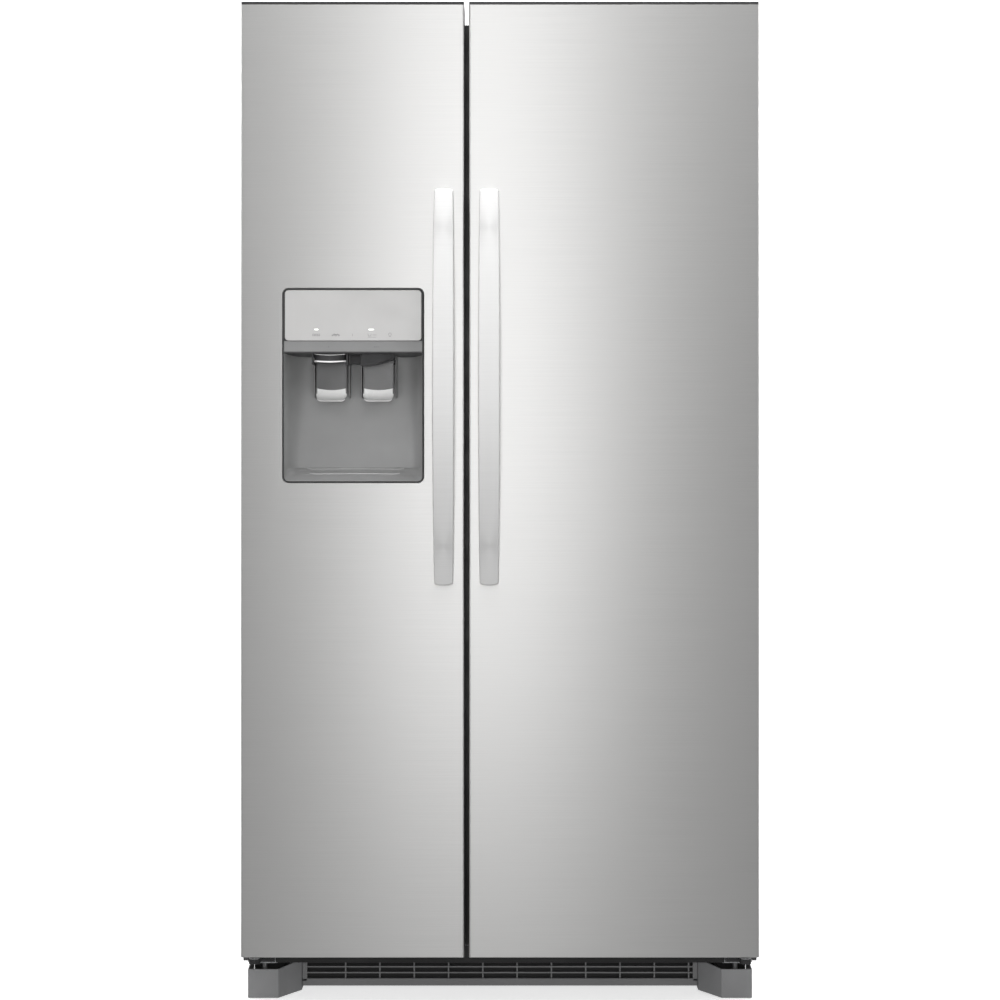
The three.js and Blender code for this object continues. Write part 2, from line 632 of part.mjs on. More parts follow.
// Moulded end that closes the top of a door, with the hinge recess and a bush for the pin.
function doorCapTop(x, side) {
  const inner = grow(x, -DOOR_SKIN - FIT);
  const plug = prism(doorPlan(inner, DOOR_FRONT + DOOR_SKIN + FIT, DOOR_BACK, PLUG_RADIUS), 'z',
    [DOOR_TOP - CAP_SKIRT, DOOR_TOP + FIT + 1]);
  const lid = prism(doorPlan(grow(x, -LID_INSET), DOOR_FRONT + LID_INSET, DOOR_BACK,
    DOOR_EDGE_RADIUS - LID_INSET), 'z', [DOOR_TOP + FIT, DOOR_TOP + 5]);
  const hollow = block(grow(inner, -3), [DOOR_FRONT + 6, DOOR_BACK - 3],
    [DOOR_TOP - CAP_SKIRT - 1, DOOR_TOP - 2]);
  const bush = block(onSide(side, [HINGE_PIN_X - 17, DOOR_HALF_SPAN - DOOR_SKIN - FIT]), [-378, DOOR_BACK],
    [DOOR_TOP - CAP_SKIRT, RECESS_FLOOR]);
  const walls = block(onSide(side, [HINGE_PIN_X - 17, DOOR_HALF_SPAN - 4]), [-381, DOOR_BACK - 1],
    [RECESS_FLOOR - 1, DOOR_TOP]);
  const bore = rod(HINGE_PIN_RADIUS + 0.6, 'z', [CABINET_TOP - 26, DOOR_TOP - 1.5],
    [side * HINGE_PIN_X, HINGE_PIN_Y]);
  return cut(join(cut(join(plug, lid), hollow), bush, walls), hingeRecess(side), bore);
}

// Moulded end that closes the bottom of a door, with a bush for the lower pin.
function doorCapBottom(x, side) {
  const inner = grow(x, -DOOR_SKIN - FIT);
  const z = [DOOR_BOTTOM, DOOR_BOTTOM + 30];
  const plug = prism(doorPlan(inner, DOOR_FRONT + DOOR_SKIN + FIT, DOOR_BACK, PLUG_RADIUS), 'z', z);
  const hollow = block(grow(inner, -3), [DOOR_FRONT + 6, DOOR_BACK - 3], [z[0] + 4, z[1] + 1]);
  const bush = block(onSide(side, [HINGE_PIN_X - 17, DOOR_HALF_SPAN - 3]), [-370, DOOR_BACK - 1], z);
  const stop = block(onSide(side, [DOOR_HALF_SPAN - 12, DOOR_HALF_SPAN - 4]), [-383, -368],
    [DOOR_BOTTOM - 6, DOOR_BOTTOM + 1]);
  const bore = rod(HINGE_PIN_RADIUS + 0.6, 'z', [z[0] - 1, z[0] + 24], [side * HINGE_PIN_X, HINGE_PIN_Y]);
  return cut(join(cut(plug, hollow), bush, stop), bore);
}

const PANEL_Y = [DOOR_BACK + FIT, DOOR_BACK + FIT + 3];
const GASKET_Y = [PANEL_Y[1] + FIT, CABINET_FRONT - FIT];
const GASKET_INSET = 20;
const GASKET_WIDTH = 16;
const DYKE_BACK = -270;                 // how far the raised rim reaches into the cabinet

// Flat frame: an outer rectangle with an inner one cut out of it.
function frame(x, y, z, width) {
  return cut(block(x, y, z), block(grow(x, -width), grow(y, 1), grow(z, -width)));
}

// Inner panel of a door with its raised rim, and pockets or bulges added by the caller.
function doorLiner(doorX, rimX, extras) {
  const z = [DOOR_BOTTOM + 3, RECESS_FLOOR - 2];
  const panel = block(grow(doorX, -3), PANEL_Y, z);
  const rim = frame(rimX, [PANEL_Y[0] + 1, DYKE_BACK], [LINER_BOTTOM + 14, LINER_TOP - 14], 14);
  return join(panel, rim, ...extras);
}

function gasket(doorX) {
  return frame(grow(doorX, -GASKET_INSET), GASKET_Y, [DOOR_BOTTOM + 22, CABINET_TOP - 22], GASKET_WIDTH);
}

// Open-topped bin on the inside of a door: a tray with a higher front lip.
function doorBin(x, back, z) {
  return tray(x, [PANEL_Y[1] + FIT, back], z, 3);
}

// Bowed strap with a foot at each end, centred on its own origin on the face of the door.
function handle() {
  const thickness = 11;
  const foot = 26;
  const steps = 20;
  const standOff = 8.4;
  const bow = (z) => (HANDLE_REACH - standOff) * Math.cos((z / HANDLE_HALF_LENGTH) * 0.45 * Math.PI);
  const zAt = (k, half) => (2 * k / steps - 1) * half;
  const front = [];
  const back = [];
  for (let k = 0; k <= steps; k += 1) {
    const outer = zAt(k, HANDLE_HALF_LENGTH);
    const inner = zAt(steps - k, HANDLE_HALF_LENGTH - foot);
    front.push([-standOff - bow(outer), outer]);
    back.push([thickness - standOff - bow(inner), inner]);
  }
  const topFoot = [[-FIT, HANDLE_HALF_LENGTH], [-FIT, HANDLE_HALF_LENGTH - foot]];
  const bottomFoot = [[-FIT, foot - HANDLE_HALF_LENGTH], [-FIT, -HANDLE_HALF_LENGTH]];
  return prism(polygon([...front, ...topFoot, ...back, ...bottomFoot]), 'x',
    [-HANDLE_WIDTH / 2, HANDLE_WIDTH / 2]);
}

// ---- Dispenser ----

const RECESS_TOP_BACK = -257;
const RECESS_BOTTOM_BACK = -312;
const PADDLE_X = [-302, -218];
const PADDLE_WIDTH = 55;
const PADDLE_PIVOT = [-318, 1146];      // y and z of the axis both paddles hang from
const CHUTE_Y = -352;
const FLAP_RADIUS = 21;

// Space inside the recess, or with a margin the outside of its moulding.
function recessSolid(margin) {
  const [x0, x1] = grow([DISPENSER_X[0] + 3, DISPENSER_X[1] - 3], margin);
  const [z0, z1] = RECESS_Z;
  const deep = RECESS_TOP_BACK + margin;
  const inset = 29;
  const plan = new THREE.Shape();
  plan.moveTo(x0, DOOR_FRONT - 1);
  plan.lineTo(x1, DOOR_FRONT - 1);
  plan.quadraticCurveTo(x1, deep, x1 - inset, deep);
  plan.lineTo(x0 + inset, deep);
  plan.quadraticCurveTo(x0, deep, x0, DOOR_FRONT - 1);
  const side = polygon([
    [DOOR_FRONT - 1, z0 - margin], [RECESS_BOTTOM_BACK + margin, z0 + 23 - margin],
    [RECESS_TOP_BACK + margin, z1 - 12 + margin], [RECESS_TOP_BACK + margin, z1 + margin],
    [DOOR_FRONT - 1, z1 + margin],
  ]);
  return overlap(prism(plan, 'z', [z0 - 10, z1 + 10], 8), prism(side, 'x', grow([x0, x1], 1)));
}

function dispenserHousing() {
  const outline = roundedRectangle(DISPENSER_X, DISPENSER_Z, 10);
  const bezel = prism(outline, 'y', [DOOR_FRONT - 1, DOOR_FRONT + 10], 4);
  const tub = overlap(recessSolid(3), prism(outline, 'y', [DOOR_FRONT - 1, RECESS_TOP_BACK + 5], 4));
  const headBox = block([-378, -140], [DOOR_FRONT + 9, -300], [RECESS_Z[1], DISPENSER_Z[1] - 6]);
  const fasciaPocket = block(grow(DISPENSER_X, -3), [DOOR_FRONT - 2, DOOR_FRONT + 5], grow(FASCIA_Z, 0.5));
  const spoutX = PADDLE_X[0];
  const spout = rod(29, 'z', [RECESS_Z[1] - 18, RECESS_Z[1] + 1], [spoutX, CHUTE_Y + 3], 20);
  const chute = rod(25, 'z', [RECESS_Z[1] - 19, RECESS_Z[1] + 40], [spoutX, CHUTE_Y + 3], 20);
  const slope = prism(polygon([
    [CHUTE_Y - 22, RECESS_Z[1] + 22], [CHUTE_Y + 28, RECESS_Z[1] + 12], [-290, DISPENSER_Z[1] - 50],
      [-290, DISPENSER_Z[1] - 10],
  ]), 'x', [spoutX - 24, spoutX + 24]);
  const moulding = cut(join(bezel, headBox, tub), recessSolid(0), fasciaPocket);
  return cut(join(moulding, spout), chute, slope);
}

function dispenserPanel() {
  return prism(roundedRectangle(grow(DISPENSER_X, -3.5), FASCIA_Z, 7), 'y',
    [DOOR_FRONT - 1.5, DOOR_FRONT + 4], 4);
}

// Paddle hanging from its pivot, with a lip curled forward at its foot.
function paddle() {
  const wall = 3;
  const outline = new THREE.Shape();
  outline.moveTo(0, 4);
  outline.lineTo(wall, 4);
  outline.lineTo(wall, -58);
  outline.quadraticCurveTo(wall, -71, -14, -72);
  outline.lineTo(-14, -68);
  outline.quadraticCurveTo(0, -67, 0, -56);
  return prism(outline, 'x', [-PADDLE_WIDTH / 2, PADDLE_WIDTH / 2], 6);
}

// Round hatch hinged on its rear edge at its own origin.
function chuteFlap() {
  return rod(FLAP_RADIUS, 'z', [-3, 0], [0, -FLAP_RADIUS], 18);
}

// ---- Door linings ----

// Hollow box behind the dispenser, open towards the front of the door.
function dispenserBulge() {
  const x = [-398, -116];
  const z = [898, 1290];
  const whole = block(x, [PANEL_Y[0] + 1, -238], z);
  return { whole, hollow: block(grow(x, -3), [PANEL_Y[0] - 1, -241], grow(z, -3)) };
}

function freezerDoorLiner() {
  const bulge = dispenserBulge();
  const rimX = [FREEZER_INSIDE[0] + 8, FREEZER_INSIDE[1] - 11];
  return cut(doorLiner(FREEZER_DOOR_X, rimX, [bulge.whole]), bulge.hollow);
}

const DAIRY_X = [8, 384];
const DAIRY_Z = [1470, 1590];
const DAIRY_PIVOT = [-290, 1588];        // y and z of the axis of the dairy lid
const DAIRY_BACK = -212;

// Lining of the fresh food door with the three walls of the dairy compartment.
function freshFoodDoorLiner() {
  const y = [PANEL_Y[0] + 1, DAIRY_BACK - 6];
  const walls = [
    block(DAIRY_X, y, [DAIRY_Z[0] - 4, DAIRY_Z[0]]),
    block([DAIRY_X[0], DAIRY_X[0] + 3], y, [DAIRY_Z[0] - 1, DAIRY_Z[1]]),
    block([DAIRY_X[1] - 3, DAIRY_X[1]], y, [DAIRY_Z[0] - 1, DAIRY_Z[1]]),
  ];
  const rimX = [FRESH_FOOD_INSIDE[0] + 9, FRESH_FOOD_INSIDE[1] - 6];
  return doorLiner(FRESH_FOOD_DOOR_X, rimX, walls);
}

// Clear lid with a top and a front, hinged along the rear edge of its top at its own origin.
function dairyDoor() {
  const half = (DAIRY_X[1] - DAIRY_X[0]) / 2 - 4;
  const reach = DAIRY_BACK - DAIRY_PIVOT[0];
  const top = block([-half, half], [0, reach], [0, 3]);
  const front = block([-half, half], [reach - 4, reach], [DAIRY_Z[0] + 2 - DAIRY_PIVOT[1], 3]);
  const barrel = rod(3, 'x', [-half, half], [0, 1.5], 10);
  return join(top, front, barrel);
}

// ---- Assembly ----

const refrigerator = new THREE.Group();
refrigerator.name = 'refrigerator';

function addCabinet() {
  piece(refrigerator, 'cabinet_wrapper', cabinetWrapper(), cabinetPaint);
  piece(refrigerator, 'cabinet_back_panel', backPanel(), galvanized);
  piece(refrigerator, 'cabinet_foam', cabinetFoam(), foam);
  piece(refrigerator, 'base_chassis', baseChassis(), galvanized);
  const freezerLedges = [...FREEZER_SHELF_Z, ICE_BIN_Z[0]].map((z) => [z - FIT, 380]);
  piece(refrigerator, 'freezer_liner', liner(FREEZER_X, freezerLedges), whitePlastic);
  const freshFoodLedges = [...FRESH_FOOD_SHELF_Z, CRISPER_COVER_Z,
    UPPER_CRISPER_Z[0]].map((z) => [z - FIT, 380]);
  piece(refrigerator, 'fresh_food_liner', liner(FRESH_FOOD_X, freshFoodLedges), whitePlastic);
  piece(refrigerator, 'toe_grille', toeGrille(), darkPlastic);
}

function addHingesLegsAndWheels() {
  for (const [name, side] of SIDES) {
    piece(refrigerator, `leg_cover_${name}`, legCover(side), greyPlastic);
    piece(refrigerator, `top_hinge_${name}`, topHinge(side), galvanized);
    piece(refrigerator, `bottom_hinge_${name}`, bottomHinge(side), blackEnamel);
    piece(refrigerator, `hinge_cover_${name}`, hingeCover(side), darkPlastic);
    piece(refrigerator, `levelling_leg_${name}`, levellingLeg(), galvanized, [side * LEG_X, LEG_Y, 0]);
    const frontHeight = FRONT_WHEEL_RADIUS + FRONT_WHEEL_LIFT;
    piece(refrigerator, `roller_front_${name}`, wheel(FRONT_WHEEL_RADIUS), blackPlastic,
      [side * WHEEL_X, WHEEL_YS[0], frontHeight]);
    piece(refrigerator, `roller_rear_${name}`, wheel(REAR_WHEEL_RADIUS), blackPlastic,
      [side * WHEEL_X, WHEEL_YS[1], REAR_WHEEL_RADIUS]);
  }
}

function addMachineCompartment() {
  piece(refrigerator, 'compressor', compressor(), blackEnamel, [COMPRESSOR_X, COMPRESSOR_Y, 0]);
  piece(refrigerator, 'condenser_coil', condenserCoil(), copper);
  piece(refrigerator, 'condenser_fan', condenserFan(), blackPlastic, [FAN_X, FAN_Y, FAN_Z]);
  piece(refrigerator, 'rear_cover', rearCover(), galvanized);
}

function addFreezerContents() {
  const shelfX = grow(FREEZER_INSIDE, -2);
  piece(refrigerator, 'evaporator_module', evaporatorModule(), whitePlastic);
  piece(refrigerator, 'freezer_shelf_lower', shelf(shelfX, [COMPARTMENT_FRONT, 300],
    FREEZER_SHELF_Z[0]), shelfGlass);
  piece(refrigerator, 'freezer_shelf_upper', shelf(shelfX, [COMPARTMENT_FRONT, 300],
    FREEZER_SHELF_Z[1]), shelfGlass);
  piece(refrigerator, 'freezer_basket', freezerBasket(), whitePlastic);
  piece(refrigerator, 'ice_bin', iceBin(), clearPlastic);
  piece(refrigerator, 'ice_maker', iceMaker(), greyPlastic);
  piece(refrigerator, 'ice_maker_arm', iceMakerArm(), galvanized, [-128, 40, 1612]);
}

function addFreshFoodContents() {
  const shelfX = grow(FRESH_FOOD_INSIDE, -2);
  const shelfY = [COMPARTMENT_FRONT, 330];
  piece(refrigerator, 'control_housing', controlHousing(), whitePlastic);
  piece(refrigerator, 'glass_shelf_lower', shelf(shelfX, shelfY, FRESH_FOOD_SHELF_Z[0]), shelfGlass);
  piece(refrigerator, 'glass_shelf_upper', shelf(shelfX, shelfY, FRESH_FOOD_SHELF_Z[1]), shelfGlass);
  piece(refrigerator, 'crisper_cover', shelf(shelfX, shelfY, CRISPER_COVER_Z), shelfGlass);
  piece(refrigerator, 'crisper_drawer_upper', crisperDrawer([COMPARTMENT_FRONT, 320], UPPER_CRISPER_Z),
    clearPlastic);
  piece(refrigerator, 'crisper_drawer_lower', crisperDrawer([COMPARTMENT_FRONT, 165], LOWER_CRISPER_Z),
    clearPlastic);
}

// The pieces that both doors have.
function addDoor(name, doorX, side, doorLining, ...openings) {
  const door = new THREE.Group();
  door.name = name;
  refrigerator.add(door);
  const freeEdge = side < 0 ? doorX[1] : doorX[0];
  piece(door, `${name}_skin`, doorSkin(doorX, side, ...openings), brushedSteel);
  piece(door, `${name}_liner`, doorLining, whitePlastic);
  piece(door, `${name}_cap_top`, doorCapTop(doorX, side), darkPlastic);
  piece(door, `${name}_cap_bottom`, doorCapBottom(doorX, side), darkPlastic);
  piece(door, `${name}_gasket`, gasket(doorX), gasketRubber);
  piece(door, `${name}_handle`, handle(), brushedSteel,
    [freeEdge + side * HANDLE_FROM_EDGE, DOOR_FRONT, HANDLE_CENTRE_Z]);
  return door;
}

function addFreezerDoor() {
  const binX = [FREEZER_INSIDE[0] + 24, FREEZER_INSIDE[1] - 36];
  const opening = roundedRectangle(grow(DISPENSER_X, FIT), grow(DISPENSER_Z, FIT), 10);
  const doorway = prism(opening, 'y', [DOOR_FRONT - 2, DOOR_FRONT + 4], 4);
  const door = addDoor('freezer_door', FREEZER_DOOR_X, -1, freezerDoorLiner(), doorway);
  piece(door, 'freezer_bin_upper', doorBin(binX, -200, [1500, 1620]), clearPlastic);
  piece(door, 'freezer_bin_lower', doorBin(binX, -245, [560, 680]), clearPlastic);
  piece(door, 'dispenser_housing', dispenserHousing(), darkPlastic);
  piece(door, 'dispenser_panel', dispenserPanel(), fasciaSilver);
  piece(door, 'ice_paddle', paddle(), greyPlastic, [PADDLE_X[0], ...PADDLE_PIVOT]);
  piece(door, 'water_paddle', paddle(), greyPlastic, [PADDLE_X[1], ...PADDLE_PIVOT]);
  piece(door, 'ice_chute_flap', chuteFlap(), blackPlastic,
    [PADDLE_X[0], CHUTE_Y + 3 + FLAP_RADIUS, RECESS_Z[1]]);
}

function addFreshFoodDoor() {
  const binX = [FRESH_FOOD_INSIDE[0] + 30, FRESH_FOOD_INSIDE[1] - 20];
  const door = addDoor('fridge_door', FRESH_FOOD_DOOR_X, 1, freshFoodDoorLiner());
  piece(door, 'fridge_bin_upper', doorBin(binX, -205, [1120, 1240]), clearPlastic);
  piece(door, 'fridge_bin_lower', doorBin(binX, -246, [420, 560]), clearPlastic);
  piece(door, 'dairy_door', dairyDoor(), clearPlastic, [(DAIRY_X[0] + DAIRY_X[1]) / 2, ...DAIRY_PIVOT]);
}

addCabinet();
addHingesLegsAndWheels();
addMachineCompartment();
addFreezerContents();
addFreshFoodContents();
addFreezerDoor();
addFreshFoodDoor();

export default refrigerator;
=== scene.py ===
"""Looks of a side by side refrigerator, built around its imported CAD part. Shapes are in millimetres."""

import json
import math

import bmesh  # noqa: E402
import bpy  # noqa: E402
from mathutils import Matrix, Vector  # noqa: E402
from mathutils.geometry import tessellate_polygon  # noqa: E402


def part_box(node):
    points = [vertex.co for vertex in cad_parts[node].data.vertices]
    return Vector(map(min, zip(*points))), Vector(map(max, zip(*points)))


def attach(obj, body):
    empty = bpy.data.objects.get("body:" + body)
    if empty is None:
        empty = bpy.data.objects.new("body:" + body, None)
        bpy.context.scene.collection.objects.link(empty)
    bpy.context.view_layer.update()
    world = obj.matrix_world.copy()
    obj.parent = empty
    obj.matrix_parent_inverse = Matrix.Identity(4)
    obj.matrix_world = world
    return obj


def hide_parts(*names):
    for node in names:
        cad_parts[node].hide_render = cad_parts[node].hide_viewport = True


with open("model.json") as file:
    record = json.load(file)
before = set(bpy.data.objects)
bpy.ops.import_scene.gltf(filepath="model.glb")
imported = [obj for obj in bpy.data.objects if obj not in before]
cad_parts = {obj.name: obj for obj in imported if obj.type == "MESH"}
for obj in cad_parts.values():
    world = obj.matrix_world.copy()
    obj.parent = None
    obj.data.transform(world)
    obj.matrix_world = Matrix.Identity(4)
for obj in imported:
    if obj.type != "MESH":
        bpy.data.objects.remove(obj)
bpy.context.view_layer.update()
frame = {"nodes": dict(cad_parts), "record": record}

MM = 0.001
HALF_PI = math.pi / 2
SLOT_OF_NODE = {p["node"]: p["material_slot"] for p in frame["record"]["subparts"]}
BODY_OF_NODE = {n: b for b, nodes in frame["record"]["behaviour"]["bodies"].items() for n in nodes}


def box_mm(node):
    """Lowest and highest corner of a CAD node, in millimetres."""
    lo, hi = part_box(node)
    return lo / MM, hi / MM


# ---- Materials ----


def start_material(name):
    material = bpy.data.materials.new(name)
    material.use_nodes = True
    tree = material.node_tree
    return material, tree, tree.nodes["Principled BSDF"]


def set_sockets(shader, sockets):
    for name, value in sockets.items():
        shader.inputs[name].default_value = value


def noise(tree, scale, stretch=(1, 1, 1), detail=3.0):
    """Noise in the object's own coordinates, with features of about 1 / scale metres."""
    coords = tree.nodes.new("ShaderNodeTexCoord")
    mapping = tree.nodes.new("ShaderNodeMapping")
    mapping.inputs["Scale"].default_value = stretch
    texture = tree.nodes.new("ShaderNodeTexNoise")
    texture.inputs["Scale"].default_value = scale
    texture.inputs["Detail"].default_value = detail
    tree.links.new(coords.outputs["Object"], mapping.inputs["Vector"])
    tree.links.new(mapping.outputs["Vector"], texture.inputs["Vector"])
    return texture.outputs["Fac"]


def cells(tree, scale, feature="F1", output="Distance"):
    coords = tree.nodes.new("ShaderNodeTexCoord")
    texture = tree.nodes.new("ShaderNodeTexVoronoi")
    texture.feature = feature
    texture.inputs["Scale"].default_value = scale
    tree.links.new(coords.outputs["Object"], texture.inputs["Vector"])
    return texture.outputs[output]


def ramp(tree, value, low, high, start=0.35, end=0.65):
    """Colour that goes from low to high as value goes from start to end."""
    node = tree.nodes.new("ShaderNodeValToRGB")
    first, last = node.color_ramp.elements
    first.position, last.position = start, end
    first.color, last.color = (*low, 1), (*high, 1)
    tree.links.new(value, node.inputs["Fac"])
    return node.outputs["Color"]


def remap(tree, value, low, high, start=0.35, end=0.65):
    node = tree.nodes.new("ShaderNodeMapRange")
    for name, number in (("From Min", start), ("From Max", end), ("To Min", low), ("To Max", high)):
        node.inputs[name].default_value = number
    tree.links.new(value, node.inputs["Value"])
    return node.outputs["Result"]


def mix(tree, factor, a, b):
    node = tree.nodes.new("ShaderNodeMix")
    node.data_type = "RGBA"
    tree.links.new(factor, node.inputs[0])
    tree.links.new(a, node.inputs[6])
    tree.links.new(b, node.inputs[7])
    return node.outputs[2]


def bump(tree, shader, height, strength, distance):
    """Adds a bump on top of any that the shader already has."""
    node = tree.nodes.new("ShaderNodeBump")
    node.inputs["Strength"].default_value = strength
    node.inputs["Distance"].default_value = distance
    tree.links.new(height, node.inputs["Height"])
    for link in list(shader.inputs["Normal"].links):
        tree.links.new(link.from_socket, node.inputs["Normal"])
    tree.links.new(node.outputs["Normal"], shader.inputs["Normal"])


def worn(tree, colour, light, amount=0.5):
    """The colour, lighter along sharp outer edges."""
    geometry = tree.nodes.new("ShaderNodeNewGeometry")
    edge = remap(tree, geometry.outputs["Pointiness"], 0.0, amount, 0.52, 0.62)
    return mix(tree, edge, colour, ramp(tree, geometry.outputs["Pointiness"], light, light, 0.0, 1.0))


def plastic(name, dark, light, roughness, grain=1400.0, depth=0.08, worn_to=None, **sockets):
    """Moulded plastic: two close tones in soft patches, and a fine leather grain in gloss and bump."""
    material, tree, shader = start_material(name)
    colour = ramp(tree, noise(tree, 9.0), dark, light)
    if worn_to:
        colour = worn(tree, colour, worn_to)
    tree.links.new(colour, shader.inputs["Base Color"])
    fine = noise(tree, grain, detail=2.0)
    gloss = remap(tree, noise(tree, 35.0), roughness - 0.05, roughness + 0.05)
    tree.links.new(gloss, shader.inputs["Roughness"])
    bump(tree, shader, fine, depth, 0.0004)
    set_sockets(shader, sockets)
    return material


def brushed(name, dark, light, roughness, stretch, **sockets):
    """Satin steel with streaks along its grain, at three widths, and faint cloudy handling marks."""
    material, tree, shader = start_material(name)
    shader.inputs["Metallic"].default_value = 1.0
    streaks = noise(tree, 1.0, stretch, detail=3.0)
    cloud = noise(tree, 2.2, (1, 1, 0.6), detail=2.0)
    colour = mix(tree, remap(tree, cloud, 0.0, 0.35), ramp(tree, streaks, dark, light),
                 ramp(tree, streaks, light, light))
    tree.links.new(colour, shader.inputs["Base Color"])
    tree.links.new(remap(tree, streaks, roughness - 0.012, roughness + 0.012), shader.inputs["Roughness"])
    bump(tree, shader, noise(tree, 1.0, tuple(4 * s for s in stretch), detail=3.0), 0.03, 0.0001)
    set_sockets(shader, {"Anisotropic": 0.7, "Anisotropic Rotation": 0.25, **sockets})
    return material


def galvanized():
    """Zinc coated sheet with its spangle, dulled in places."""
    material, tree, shader = start_material("galvanized_sheet")
    spangle = cells(tree, 130.0, output="Color")
    tone = ramp(tree, spangle, (0.36, 0.37, 0.38), (0.55, 0.56, 0.57), 0.2, 0.8)
    dull = ramp(tree, noise(tree, 14.0, detail=5.0), (0.34, 0.345, 0.35), (0.50, 0.505, 0.51))
    colour = mix(tree, remap(tree, noise(tree, 6.0), 0.1, 0.7), tone, dull)
    tree.links.new(colour, shader.inputs["Base Color"])
    tree.links.new(remap(tree, spangle, 0.38, 0.55, 0.2, 0.8), shader.inputs["Roughness"])
    bump(tree, shader, noise(tree, 300.0), 0.06, 0.0004)
    set_sockets(shader, {"Metallic": 0.85})
    return material


def textured_paint():
    """Grey enamel rolled over embossed sheet: a fine pebble, with slight gloss and tone changes, and painted
    shade towards the pebble cells' borders.
    """
    material, tree, shader = start_material("cabinet_enamel")
    pebble = cells(tree, 420.0, "SMOOTH_F1")
    tone = ramp(tree, noise(tree, 3.0, detail=5.0), (0.235, 0.237, 0.24), (0.27, 0.272, 0.275))
    # Painted shade: hollow is a darker tone towards the borders of the pebble cells, standing in for shade in
    # the embossing.
    hollow = ramp(tree, noise(tree, 3.0, detail=5.0), (0.205, 0.207, 0.21), (0.24, 0.242, 0.245))
    colour = mix(tree, remap(tree, pebble, 0.0, 1.0, 0.1, 0.7), tone, hollow)
    tree.links.new(worn(tree, colour, (0.36, 0.362, 0.365)), shader.inputs["Base Color"])
    tree.links.new(remap(tree, pebble, 0.36, 0.5, 0.1, 0.7), shader.inputs["Roughness"])
    bump(tree, shader, pebble, 0.16, 0.0006)
    bump(tree, shader, noise(tree, 60.0), 0.05, 0.0006)
    set_sockets(shader, {"Metallic": 0.1})
    return material


def foam_skin():
    """Yellow rigid foam with its open cells, painted darker inside each cell as shade."""
    material, tree, shader = start_material("rigid_foam")
    bubbles = cells(tree, 700.0)
    # Painted shade: the foam is darker in the middle of each cell, where the bump sinks it.
    colour = ramp(tree, bubbles, (0.62, 0.52, 0.28), (0.78, 0.68, 0.42), 0.0, 0.6)
    tree.links.new(colour, shader.inputs["Base Color"])
    tree.links.new(remap(tree, bubbles, 0.75, 0.95), shader.inputs["Roughness"])
    bump(tree, shader, bubbles, 0.4, 0.0008)
    return material


def clear(name, tint, roughness, ior):
    """See-through plastic or glass with faint flow marks and a little haze."""
    material, tree, shader = start_material(name)
    flow = noise(tree, 12.0, detail=4.0)
    paler = tuple(min(1.0, t + 0.02) for t in tint)
    tree.links.new(ramp(tree, flow, tint, paler), shader.inputs["Base Color"])
    tree.links.new(remap(tree, flow, roughness, roughness + 0.06), shader.inputs["Roughness"])
    bump(tree, shader, noise(tree, 45.0), 0.02, 0.0008)
    set_sockets(shader, {"Transmission Weight": 0.96, "IOR": ior})
    return material


def copper_tube():
    """Drawn copper, brown and duller where it has tarnished."""
    material, tree, shader = start_material("tube_copper")
    patina = noise(tree, 60.0, detail=6.0)
    tree.links.new(ramp(tree, patina, (0.45, 0.20, 0.11), (0.72, 0.38, 0.24)), shader.inputs["Base Color"])
    tree.links.new(remap(tree, patina, 0.5, 0.28), shader.inputs["Roughness"])
    bump(tree, shader, noise(tree, 900.0), 0.05, 0.0003)
    set_sockets(shader, {"Metallic": 1.0})
    return material


def lit(name, colour, strength):
    """A small lamp behind a diffusing window, a little uneven."""
    material, tree, shader = start_material(name)
    glow = ramp(tree, noise(tree, 500.0), tuple(0.9 * c for c in colour), colour)
    tree.links.new(glow, shader.inputs["Base Color"])
    tree.links.new(glow, shader.inputs["Emission Color"])
    set_sockets(shader, {"Emission Strength": strength, "Roughness": 0.4})
    return material


